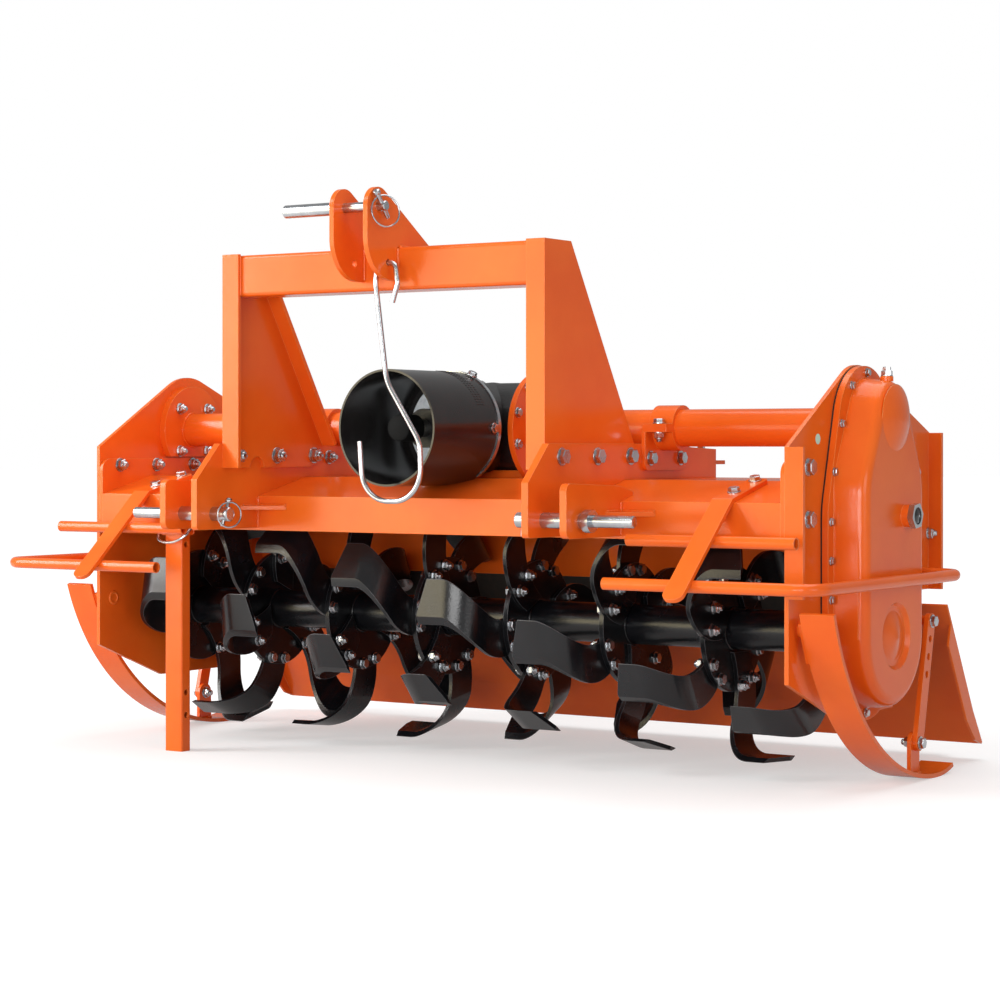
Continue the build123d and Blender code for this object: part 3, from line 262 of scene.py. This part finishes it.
# %% Sky and softboxes
world = blank(bpy.data.worlds.new("studio"))
bpy.context.scene.world = world
path = node(world, "ShaderNodeLightPath").outputs
seen = node(
    world, "ShaderNodeMath", {"operation": "MAXIMUM"}, _0=path["Is Camera Ray"],
    _1=path["Is Transmission Ray"],
)
soft = node(world, "ShaderNodeBackground", Color=(1, 1, 1, 1), Strength=0.36)
white = node(world, "ShaderNodeBackground", Color=(1, 1, 1, 1), Strength=1.0)
mix = node(world, "ShaderNodeMixShader", _0=seen.outputs[0], _1=soft.outputs[0], _2=white.outputs[0])
node(world, "ShaderNodeOutputWorld", Surface=mix.outputs[0])


def softbox(name, centre, aim, width, height, radiance, colour=(1, 1, 1)):
    """A soft rectangular lamp facing its aim; radiance 1 looks white from the front."""
    lamp = bpy.data.lights.new(name, "AREA")
    lamp.shape, lamp.size, lamp.size_y = "RECTANGLE", width, height
    lamp.energy, lamp.color = radiance * math.pi * width * height, colour
    holder = bpy.data.objects.new(name, lamp)
    holder.location = centre
    holder.rotation_euler = (Vector(aim) - Vector(centre)).to_track_quat("-Z", "Y").to_euler()
    bpy.context.scene.collection.objects.link(holder)


softbox("front_softbox", (-4.4, -3.4, 2.7), (0, 0, 0.5), 2.2, 4.4, 10.0)
softbox("gold_card", (-2.6, -4.3, 0.8), (0, 0, 0.5), 2.4, 1.8, 4.0, (1, 0.86, 0.54))
softbox("fill_softbox", (1.5, -5.2, 0.8), (0, 0, 0.3), 3.0, 1.2, 9.5)
softbox("side_softbox", (4.6, -2.0, 1.4), (0, 0, 0.4), 2.0, 1.8, 2.9)
softbox("top_softbox", (0.5, 0.3, 3.6), (0, 0, 0.5), 3.5, 2.5, 2.4)
bpy.context.scene.view_settings.view_transform = "Standard"
print("lamps:", len(bpy.data.lights))

# %% [markdown]
# ## Turned and forged hardware
# Bolts, nuts and pins are turned on a lathe or forged in a die, so they are modelled the same way: a short
# profile is drawn as a row of points and spun about its axis, and a six-sided bar is trimmed for the hexagon.
# Each fastener is made once, standing on the floor at the origin, and copies of it are then turned and moved
# to their holes. One mesh holds all copies of a kind on one body, because they never move apart.

# %% Directions and shared heights
RIGHT, LEFT = 1, -1
UP, DOWN = (0, 0, 1), (0, 0, -1)
AHEAD, BEHIND = (0, -1, 0), (0, 1, 0)
OUTWARD = (1, 0, 0)  # towards the chain case
ALONG = (1, 0, 0)  # the machine's width
AXLE_Z = 658  # cross tubes and drive stub, in millimetres
ROTOR_Z = 276
TOUCH = 1e-6  # corners nearer than this, in metres, are one


def spoke(degrees):
    """Cosine and sine of an angle in degrees."""
    return math.cos(math.radians(degrees)), math.sin(math.radians(degrees))


# %% Lathe, bar stock and blocks
def turned(profile, segments=24):
    """Lathe work: a row of (radius, height) points in millimetres spun about +Z."""
    form = bmesh.new()
    row = [form.verts.new((radius / 1000, 0, height / 1000)) for radius, height in profile]
    line = [form.edges.new(pair) for pair in zip(row, row[1:])]
    bmesh.ops.spin(
        form, geom=row + line, cent=(0, 0, 0), axis=UP, angle=math.tau, steps=segments, use_merge=True
    )
    bmesh.ops.remove_doubles(form, verts=form.verts[:], dist=TOUCH)
    bmesh.ops.recalc_face_normals(form, faces=form.faces[:])
    return form


CORNER_BREAK = 1.2  # on the upper corners of a hexagon, in millimetres


def hexagon(across_flats, foot, top):
    """Hexagon bar between two heights, in millimetres, with its upper corners broken."""
    form = bmesh.new()
    radius = across_flats / 1000 / math.sqrt(3)
    bmesh.ops.create_cone(
        form, cap_ends=True, segments=6, radius1=radius, radius2=radius, depth=(top - foot) / 1000
    )
    bmesh.ops.translate(form, verts=form.verts[:], vec=(0, 0, (top + foot) / 2000))
    upper = [edge for edge in form.edges if all(v.co.z > top / 1000 - TOUCH for v in edge.verts)]
    bmesh.ops.bevel(
        form, geom=upper, offset=CORNER_BREAK / 1000, affect="EDGES", segments=1, profile=0.5, material=-1
    )
    bmesh.ops.recalc_face_normals(form, faces=form.faces[:])
    return form


def block(size, rounding, steps):
    """Box about the origin with rounded edges; size holds its three lengths in millimetres."""
    form = bmesh.new()
    bmesh.ops.create_cube(form, size=1)
    bmesh.ops.scale(form, vec=[length / 1000 for length in size], verts=form.verts[:])
    bmesh.ops.bevel(
        form, geom=form.edges[:], offset=rounding / 1000, affect="EDGES", segments=steps, profile=0.5,
        material=-1,
    )
    return form


# %% Copying and placing
def pattern(*forms):
    """Several forms joined into one mesh, ready to be copied."""
    whole = bmesh.new()
    for form in forms:
        scrap = bpy.data.meshes.new("scrap")
        form.to_mesh(scrap)
        form.free()
        whole.from_mesh(scrap)
        bpy.data.meshes.remove(scrap)
    mesh = bpy.data.meshes.new("pattern")
    whole.to_mesh(mesh)
    whole.free()
    return mesh


def stand(point, out, turn=0.0):
    """Matrix that puts +Z of a pattern along a direction at a point given in millimetres."""
    spin = Matrix.Rotation(math.radians(turn), 4, "Z")
    lean = Vector(UP).rotation_difference(Vector(out)).to_matrix().to_4x4()
    return Matrix.Translation(Vector(point) / 1000) @ lean @ spin


def copies(mesh, places):
    """A form that holds the mesh once for every (point, direction, turn)."""
    form = bmesh.new()
    for point, out, turn in places:
        count = len(form.verts)
        form.from_mesh(mesh)
        form.verts.ensure_lookup_table()
        bmesh.ops.transform(form, matrix=stand(point, out, turn), verts=form.verts[count:])
    return form


def piece(name, form, material, body="frame", crease=35):
    """The finished object: smooth faces with sharp creases, one finish, riding on a body."""
    if isinstance(form, bmesh.types.BMesh):
        mesh = bpy.data.meshes.new(name)
        form.to_mesh(mesh)
        form.free()
    else:
        mesh = form
        mesh.name = name
    mesh.polygons.foreach_set("use_smooth", [True] * len(mesh.polygons))
    mesh.set_sharp_from_angle(angle=math.radians(crease))
    mesh.materials.clear()
    mesh.materials.append(material)
    made = bpy.data.objects.new(name, mesh)
    bpy.context.scene.collection.objects.link(made)
    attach(made, body)
    print(f"{name}: {sum(len(p.vertices) - 2 for p in mesh.polygons)} triangles on {body}")


def fit(name, forms, point, out, material, turn=0, body="frame", crease=35):
    """One piece joined from forms and set at a point, looking out along a direction."""
    piece(name, copies(pattern(*forms), [(point, out, turn)]), material, body, crease)


# %% [markdown]
# ## The fasteners
# A bolt shows its washer and its forged head. On the far side of the joint it shows a second washer, the nut
# and two or three turns of thread. The thread is a stack of rings and not a helix: at this size nobody can
# tell, and rings close on themselves.

# %% Bolt and nut patterns
SIZES = (8, 10, 12, 14, 16)  # thread diameters, in millimetres
FLATS = 1.55  # width across the flats, in thread diameters
WASHER_T = 2.2
THREAD_PITCH, THREAD_TURNS = 1.6, 3


def washer(radius, thick):
    """Flat ring without its hole, which the bolt hides, and with its rims broken."""
    rim = 0.4
    return turned(
        [(0, 0), (radius - rim, 0), (radius, rim), (radius, thick - rim), (radius - rim, thick), (0, thick)]
    )


def thread_end(radius, foot):
    """The end of the bolt past its nut: a stack of rings and a small chamfer."""
    profile = [(0, foot)]
    for number in range(THREAD_TURNS):
        root, crest = foot + number * THREAD_PITCH, foot + (number + 0.5) * THREAD_PITCH
        profile += [(radius * 0.88, root), (radius, crest)]
    top = foot + THREAD_TURNS * THREAD_PITCH
    return turned(profile + [(radius * 0.86, top), (radius * 0.7, top + 0.8), (0, top + 0.8)], 20)


def bolt_head(size):
    """Hexagon bolt head on its washer; size is the thread's diameter."""
    high = 0.62 * size
    return pattern(
        washer(1.05 * size, WASHER_T), hexagon(FLATS * size, WASHER_T, WASHER_T + high),
        washer(0.72 * size, 2.6),
    )


def lock_nut(size):
    """Washer, nut with its nylon collar, and the bolt's end."""
    high = 0.75 * size
    top = WASHER_T + high
    collar = turned(
        [(0, top), (0.68 * size, top), (0.66 * size, 4.0 + high), (0.56 * size, 5.0 + high),
         (0.5 * size, 5.0 + high), (0, 5.0 + high)]
    )
    return pattern(
        washer(1.05 * size, WASHER_T), hexagon(FLATS * size, WASHER_T, top), collar,
        thread_end(0.48 * size, 4.6 + high),
    )


heads = {size: bolt_head(size) for size in SIZES}
nuts = {size: lock_nut(size) for size in SIZES}
print("bolt head faces:", len(heads[12].polygons), "nut faces:", len(nuts[12].polygons))

# %% [markdown]
# ## Where the frame is bolted
# The lists below follow the machine round: headstock to hitch plates, tube brackets, tube flanges, side
# plates, guard arms, skids and chain case. Each joint is written once for the right side. The left side is
# its mirror image, with the heads outside and the nuts inside. Each hexagon is turned by its own place, so
# that no two stand quite alike.

# %% Bolt places on the frame
PLATE_T = 8
plate_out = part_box("side_plate_right")[0].x * 1000 + PLATE_T
plate_in = 792
flange_in = 785
link_in, link_out = 375, 389
web_in = 367
clamp_x = 419
head_places = {size: [] for size in SIZES}
nut_places = {size: [] for size in SIZES}


def through(size, y, z, head_x, nut_x, side):
    """One bolt along X: its head at head_x facing outwards and its nut at nut_x facing inwards."""
    if head_x is not None:
        head_places[size].append(((side * head_x, y, z), (side, 0, 0), y))
    if nut_x is not None:
        nut_places[size].append(((side * nut_x, y, z), (-side, 0, 0), 2 * y))


for side in (RIGHT, LEFT):
    # uprights on the link plates, then the tube brackets behind them
    for y in (-362, -236, -114):
        through(16, y, 604, link_out, web_in, side)
    for y in (-51, 67):
        through(14, y, 600, link_out + 8, link_in, side)
    # saddle clamps over the cross tubes
    for y in (-56, 56):
        head_places[12].append(((side * clamp_x, y, 666), UP, y))
        nut_places[12].append(((side * clamp_x, y, 650), DOWN, y))
    # tube flanges on the side plates; on the right the chain case hides the heads
    for y in (-46, 46):
        for z in (612, 704):
            through(12, y, z, plate_out if side == LEFT else None, flange_in, side)
    # guard arms on the sloping top of the front beam, which rises 37 mm over 155 mm
    for y in (-246, -164):
        top = 523 + (y + 286) * 37 / 155 + 8.2
        head_places[12].append(((side * 680, y, top), (0, -0.232, 0.973), 10 + y))
    # the skid's upper end, then both ends of its stay
    through(12, -238, 300, 828, None, side)
    through(12, 127, 67, 876, 858, side)
    through(12, 183, 292, 876, None, side)
# side plates on the hood's ends: three bolts on the right, four on the left, and a nut at the rear edge
for y, z in ((-208, 586), (-208, 493), (247, 571)):
    through(16, y, z, plate_out, plate_in, RIGHT)
for y in (-232, -115, 4, 121):
    through(14, y, 583, plate_out, plate_in, LEFT)
nut_places[12].append(((plate_out, 323, 453), OUTWARD, 5))

# %% [markdown]
# The chain case is closed by small screws round its flange. They go down the straight front edge and round
# the rotor's end, and the rear edge is the mirror image. The gearbox's side covers have a ring of screws
# each, of which only the upper ones show.

# %% Screws of the chain case and the gearbox
CASE_FLANGE_T = 12
CASE_RING_R = 143
case_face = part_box("chain_case_gasket")[1].x * 1000 + CASE_FLANGE_T
case_edge = [(-60, 734), (-102, 664), (-133, 577), (-147, 487), (-147, 417), (-147, 347)]
for angle in (1.39, 0.93, 0.46):
    case_edge.append((-CASE_RING_R * math.sin(angle), ROTOR_Z - CASE_RING_R * math.cos(angle)))
for y, z in [(5, 759), (0, 132)] + case_edge + [(-y, z) for y, z in case_edge]:
    head_places[8].append(((case_face, y, z), OUTWARD, 3 * y))

SIDE_COVER_R = 100
for number in range(10):
    across, rise = spoke(18 + 36 * number)
    y, z = SIDE_COVER_R * across, AXLE_Z + SIDE_COVER_R * rise
    if z > 580:
        for side in (RIGHT, LEFT):
            head_places[10].append(((side * 122, y, z), (side, 0, 0), 20 * number))

for size in SIZES:
    if head_places[size]:
        piece(f"bolt_heads_m{size}", copies(heads[size], head_places[size]), zinc)
    if nut_places[size]:
        piece(f"lock_nuts_m{size}", copies(nuts[size], nut_places[size]), zinc)

# %% [markdown]
# ## Blade bolts
# Every blade is held on its flange by two bolts. Eight flanges stand along the rotor tube, each turned on a
# little from the last, so the blades strike the soil one after another. The bolt places follow from the same
# few numbers: flange spacing, twist, and the two holes in a blade's root.

# %% Blade bolts
FLANGES, FIRST, TWIST, PHASE = 8, -765.0, 16.5, 80.0
PITCH = -2 * FIRST / (FLANGES - 1)
HOLE_R = 108
HOLES = [(-HOLE_R * sine, HOLE_R * cosine) for cosine, sine in (spoke(6), spoke(29))]
blade_nuts, blade_heads = [], []
for number in range(FLANGES):
    for side in (RIGHT, LEFT):
        # the outer face of each end flange carries no blades
        if number == (FLANGES - 1 if side == RIGHT else 0):
            continue
        for turn in range(3):
            cosine, sine = spoke(PHASE + number * TWIST + 120 * turn + (60 if side == LEFT else 0))
            for hole_y, hole_z in HOLES:
                y = hole_y * cosine - hole_z * sine
                z = ROTOR_Z + hole_y * sine + hole_z * cosine
                x = FIRST + number * PITCH
                blade_nuts.append(((x + side * 13, y, z), (side, 0, 0), 7 * number + 31 * turn))
                blade_heads.append(((x - side * 5, y, z), (-side, 0, 0), 11 * number + 17 * turn))
piece("blade_nuts", copies(nuts[12], blade_nuts), zinc, "rotor")
piece("blade_bolt_heads", copies(heads[12], blade_heads), zinc, "rotor")

# %% [markdown]
# ## Wire: linch pins, rings and welds
# A ring or a bent wire is a curve with a round section. The curve is turned into a mesh as soon as its
# shape is right, because a finished piece keeps its place in its mesh. A weld bead is the same thing with a
# rippled radius: the welder pauses at every drop, and each drop freezes as a small scale.

# %% Wire and weld helpers
BEAD_R = 3.2  # usual radius of a weld bead, in millimetres
BEAD_STEP = 3.0  # from one scale of a bead to the next


def wire(points, radius, closed=False, kind="NURBS", ripple=None):
    """Mesh of a round wire along points in millimetres; ripple gives a radius factor for each point."""
    curve = bpy.data.curves.new("wire", "CURVE")
    curve.dimensions, curve.bevel_depth, curve.bevel_resolution = "3D", radius / 1000, 2
    curve.use_fill_caps, curve.resolution_u = True, 6
    line = curve.splines.new(kind)
    line.points.add(len(points) - 1)
    for index, (spot, target) in enumerate(zip(points, line.points)):
        target.co = (*(Vector(spot) / 1000), 1)
        target.radius = ripple[index] if ripple else 1.0
    if kind == "NURBS":
        line.order_u, line.use_endpoint_u = 3, not closed
    line.use_cyclic_u = closed
    holder = bpy.data.objects.new("wire", curve)
    bpy.context.scene.collection.objects.link(holder)
    bpy.context.view_layer.update()
    mesh = bpy.data.meshes.new_from_object(holder.evaluated_get(bpy.context.evaluated_depsgraph_get()))
    bpy.data.objects.remove(holder)
    bpy.data.curves.remove(curve)
    return mesh


def gathered(meshes):
    """One form out of several meshes."""
    form = bmesh.new()
    for mesh in meshes:
        form.from_mesh(mesh)
        bpy.data.meshes.remove(mesh)
    return form


def bead(start, end, radius=BEAD_R):
    """Weld bead between two points in millimetres, one scale every few millimetres."""
    start, end = Vector(start), Vector(end)
    count = max(4, 2 * round((end - start).length / BEAD_STEP))
    points = [start.lerp(end, index / (count - 1)) for index in range(count)]
    ripple = [(1.0 if index % 2 else 0.8) + 0.06 * math.sin(index * 2.3) for index in range(count)]
    return wire(points, radius, kind="POLY", ripple=ripple)


def ring(centre, normal, radius, thick, steps=24):
    """Closed round wire about a centre."""
    place = stand(centre, normal)
    spots = [
        place @ Vector((radius / 1000 * math.cos(a), radius / 1000 * math.sin(a), 0))
        for a in (math.tau * k / steps for k in range(steps))
    ]
    return wire([spot * 1000 for spot in spots], thick, closed=True)


# %% [markdown]
# ## Linch pins
# The hitch pins are held by linch pins: a short shank with a round shoulder goes through the cross hole,
# and a sprung ring folds over the pin's end so that the shank can't fall out.

# %% Linch pins
# name, hole, downwards along the hole, half length, then the ring's centre, normal and radius
linch_pins = (
    ("linch_pin_lower_left", (-347, -424, 490), (0, -0.45, -1), 25, (-336, -424, 489), (0.9, -0.45, 0), 25),
    ("linch_pin_lower_right", (347, -424, 490), (0, -0.1, -1), 30, (352, -408, 490), (1, 0, 0), 20),
    ("linch_pin_top", (53, -451, 1070), (0, 0.8, -1), 27, (60, -452, 1060), (0.9, -0.4, 0.1), 30),
)
for name, hole, down, half, centre, normal, radius in linch_pins:
    shank = turned(
        [(0, -half), (3.6, -half), (4.6, -half + 3), (4.6, half - 1), (6.5, half), (7.5, half + 3),
         (6.5, half + 7), (3, half + 9), (0, half + 9)]
    )
    form = copies(pattern(shank), [(hole, -Vector(down), 0)])
    form.from_mesh(ring(centre, normal, radius, 1.7))
    piece(name, form, zinc)

# %% [markdown]
# ## Welds
# The hitch plates and ears stand on the front beam, so beads run down their corners and along their gussets.
# The crossbeam, the top-link plates, the skids' feet, the tube ends and the stand's sleeve are welded too.

# %% Welds
BEAM_Y = -287  # front face of the front beam
GUSSET_Y, GUSSET_END_Y, GUSSET_Z = -288, -338, 505
welds = []
for side in (RIGHT, LEFT):
    # link plate, then ear: both faces down the beam
    for x, top in ((374, 520), (390, 520), (454, 521), (470, 521)):
        welds.append(bead((side * x, BEAM_Y, 461), (side * x, BEAM_Y, top)))
    # gussets: along the beam, and along the plate
    welds.append(bead((side * 303, BEAM_Y, GUSSET_Z), (side * 374, BEAM_Y, GUSSET_Z)))
    welds.append(bead((side * 374, GUSSET_Y, GUSSET_Z), (side * 374, GUSSET_END_Y, GUSSET_Z)))
    welds.append(bead((side * 470, BEAM_Y, GUSSET_Z), (side * 541, BEAM_Y, GUSSET_Z)))
    welds.append(bead((side * 470, GUSSET_Y, GUSSET_Z), (side * 470, GUSSET_END_Y, GUSSET_Z)))
    # crossbeam on the upright, and top-link plate on the crossbeam
    welds.append(bead((side * 334.5, -391, 919), (side * 334.5, -391, 996), 2.6))
    for x in (33, 45):
        welds.append(bead((side * x, -391, 938), (side * x, -391, 995)))
        welds.append(bead((side * x, -384, 999), (side * x, -312, 999)))
    # both faces of the stay's foot on the skid, and the cross tube on its flange
    for x in (857, 867):
        welds.append(bead((side * x, 109, 9), (side * x, 145, 9), 3.6))
    welds.append(ring((side * 784, 0, AXLE_Z), ALONG, 37.5, 2.4, 40))
# both sides of the stand's sleeve
for x in (-597.5, -542.5):
    welds.append(bead((x, -287.5, 443), (x, -287.5, 513), 2.8))
piece("weld_beads", gathered(welds), orange, crease=60)

# %% [markdown]
# ## Drive stub, shield and gearbox front
# A turned plastic cap keeps dirt off the splines until the drive shaft is coupled, so it turns with the stub.
# Inside the shield stands the gearbox's front cover, a bare aluminium casting with a screwed level plug. A
# steel band clamps the shield at its root and is cut off where the beam is in its way.

# %% Drive stub cap and front cover
cap = turned([(0, 0), (21, 0), (25, 2.5), (26.5, 8), (26.5, 52), (24, 54), (19, 54), (19, 7), (0, 7)], 40)
fit("stub_cap", [cap], (0, -328.5, AXLE_Z), BEHIND, cap_black, body="pto_shaft")
cover = turned(
    [(39, 0), (39, 9), (50, 9), (54, 5), (80, 5), (84, 8), (92, 8), (94, 6), (94, 0), (39, 0)], 64
)
# the cover's near-white shades are painted light against the shade inside the shield
fit("gearbox_cover", [cover], (0, -145.4, AXLE_Z), AHEAD, cast_grey_painted_light)
plug = turned([(0, 0), (15, 0), (15, 6), (13.5, 8), (0, 8)], 32)
fit("level_plug", [plug], (-63, -150.3, 649), AHEAD, shield_black)

# %% Shield band and its screws
SHIELD_R = 112.2
BAND_R = 114.4
BAND_CUT_Z = 563
band = turned([(112.3, 0), (112.3, 9), (114.3, 9), (114.3, 0), (112.3, 0)], 96)
band = copies(pattern(band), [((0, -150, AXLE_Z), BEHIND, 0)])
bmesh.ops.bisect_plane(
    band, geom=band.verts[:] + band.edges[:] + band.faces[:], plane_co=(0, 0, BAND_CUT_Z / 1000),
    plane_no=DOWN, clear_outer=True,
)
bmesh.ops.holes_fill(band, edges=[edge for edge in band.edges if edge.is_boundary], sides=0)
piece("shield_band", band, zinc)


def on_shield(degrees, y, radius=SHIELD_R):
    """Place on the shield's round wall, looking straight out of it."""
    across, rise = spoke(degrees)
    return (across * radius, y, AXLE_Z + rise * radius), (across, 0, rise)


# angle, y and radius: the two at the sides sit on the shield and the upper two on the band
shield_screws = ((0, -164, SHIELD_R), (65, -146, BAND_R), (115, -146, BAND_R), (180, -164, SHIELD_R))
screws = [(*on_shield(angle, y, radius), angle) for angle, y, radius in shield_screws]
piece("shield_screws", copies(heads[10], screws), zinc)

# %% Moulded grip on the shield
pads = [(*on_shield(angle, y), 0) for angle in range(24, 88, 3) for y in (-186, -196, -206)]
pad = pattern(block((1.6, 6, 1.4), 0.3, 1))
piece("shield_grip", copies(pad, pads), shield_black)

# %% [markdown]
# ## Gearbox from behind
# The bevel gears go in from the back, so the casting is closed there by a round cover with a ring of screws
# and a filler plug in its middle. The breather stands on top. A welded saddle carries the casting on the
# hood, so no light shows under it.

# %% Rear cover, breather and saddle
LID_SCREW_R = 58
lid = turned([(0, 0), (70, 0), (70, 5), (68.5, 6.5), (46, 6.5), (42, 10), (20, 11), (0, 11)], 64)
fit("gearbox_lid", [lid], (0, 117.8, AXLE_Z), BEHIND, gear_black)
lid_bolts = []
for number in range(8):
    across, rise = spoke(22.5 + 45 * number)
    lid_bolts.append(((LID_SCREW_R * across, 124.2, AXLE_Z + LID_SCREW_R * rise), BEHIND, 0))
piece("gearbox_lid_bolts", copies(heads[8], lid_bolts), zinc)
plugs = [((0, 128.6, AXLE_Z), BEHIND, 10), ((-52, 30, AXLE_Z + 86.8), (0, 0.326, 0.945), 0)]
piece("gearbox_plugs", copies(heads[14], plugs), zinc)
fit("gearbox_saddle", [block((216, 100, 18), 2, 2)], (0, 0, 566), UP, orange)

# %% [markdown]
# ## Chain case fittings
# The case is half full of oil. It is filled through the breather plug on top, and the sight glass shows the
# level. The sight is a hexagon nut with a round window: a ring of 24 points is pushed out to the hexagon, and
# each of its rims is drawn in to the circle of the lens.


# %% Sight nut
def push(vert, reach):
    """Moves a corner along its own spoke to a distance from the axis."""
    angle = math.atan2(vert.co.y, vert.co.x)
    vert.co.x, vert.co.y = reach * math.cos(angle), reach * math.sin(angle)


def window_nut(across_flats, bore, height):
    """Hexagon nut with a round window through it."""
    form = bmesh.new()
    bmesh.ops.create_cone(form, cap_ends=False, segments=24, radius1=1, radius2=1, depth=height / 1000)
    bmesh.ops.translate(form, verts=form.verts[:], vec=(0, 0, height / 2000))
    for vert in form.verts:
        angle = math.atan2(vert.co.y, vert.co.x)
        from_flat = (angle + math.pi / 6) % (math.pi / 3) - math.pi / 6
        push(vert, across_flats / 2000 / math.cos(from_flat))
    for level in (height / 1000, 0):
        rim = [edge for edge in form.edges if all(abs(v.co.z - level) < TOUCH for v in edge.verts)]
        fresh = bmesh.ops.extrude_edge_only(form, edges=rim)["geom"]
        for vert in (item for item in fresh if isinstance(item, bmesh.types.BMVert)):
            push(vert, bore / 1000)
    bmesh.ops.bridge_loops(form, edges=[edge for edge in form.edges if edge.is_boundary])
    bmesh.ops.recalc_face_normals(form, faces=form.faces[:])
    return form


# %% Sight, filler, breather and label
face_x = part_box("oil_sight")[0].x * 1000
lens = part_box("oil_sight")
sight_y, sight_z = (lens[0].y + lens[1].y) * 500, (lens[0].z + lens[1].z) * 500
fit(
    "sight_nut", [window_nut(43, 16, 11)], (face_x + 0.2, sight_y, sight_z), OUTWARD, zinc,
    turn=8, crease=25,
)
window = turned([(0, 0), (15.8, 0), (15.8, 8), (12, 9.5), (0, 10.5)], 32)
fit("sight_window", [window], (face_x + 0.4, sight_y, sight_z), OUTWARD, sight_black)

filler = (861, 10, 748)
neck = turned([(0, -6), (12, -6), (12, 3), (10.5, 4), (0, 4)], 32)
fit("filler_neck", [neck], filler, UP, orange)
breather = [turned([(0, 4), (11, 4), (11, 5.5), (0, 5.5)], 32), hexagon(19, 5.5, 14), hexagon(14, 14, 21)]
fit("breather_plug", breather, filler, UP, zinc, turn=12, crease=25)
dot = turned([(0, 0), (9.5, 0), (9.5, 0.4), (0, 0.4)], 32)
fit("blank_dot", [dot], (808, -169, 636), OUTWARD, mint)

# %% [markdown]
# ## Rotor and stand details
# The flanges are welded to the tube all round on both faces. The parking leg is locked by a spring pin with
# a wire handle. A thin dark strip between the hood's tail and the tailboard is painted shade: it closes the
# light gap there. The left side plate has a small pressed boss.

# %% Rotor welds
rings = []
for number in range(FLANGES):
    for side in (RIGHT, LEFT):
        rings.append(ring((FIRST + number * PITCH + side * 6, 0, ROTOR_Z), ALONG, 40.5, 2.6, 32))
piece("rotor_welds", gathered(rings), satin_black, "rotor", crease=60)

# %% Lock handle
handle = wire(
    [(-538, -304.3, 478), (-528, -304.3, 478), (-522, -306, 474), (-524, -325, 446), (-545, -336, 430),
     (-570, -338, 426), (-596, -336, 430), (-604, -325, 446), (-602, -312, 462)], 2.6
)
piece("lock_handle", handle, zinc)

# %% Dark strip of painted shade, and pressed boss
STRIP_HALF = 0.79  # metres, to each side of the middle
# a dark sheet of painted shade across the gap under the hood's tail
shade_strip = bmesh.new()
section = ((253, 353), (256, 352), (256.5, 325), (260, 292), (257, 291.6), (253.5, 325))
corners = [shade_strip.verts.new((-STRIP_HALF, y / 1000, z / 1000)) for y, z in section]
grown = bmesh.ops.extrude_face_region(shade_strip, geom=[shade_strip.faces.new(corners)])["geom"]
far_end = [item for item in grown if isinstance(item, bmesh.types.BMVert)]
bmesh.ops.translate(shade_strip, verts=far_end, vec=(2 * STRIP_HALF, 0, 0))
bmesh.ops.recalc_face_normals(shade_strip, faces=shade_strip.faces[:])
piece("hinge_shade_strip", shade_strip, gasket)

emboss = turned([(0, 0), (15, 0), (14, 2), (10, 2.5), (9, 1), (0, 1)], 32)
fit("plate_boss", [emboss], (-800, -243, 302), OUTWARD, orange)
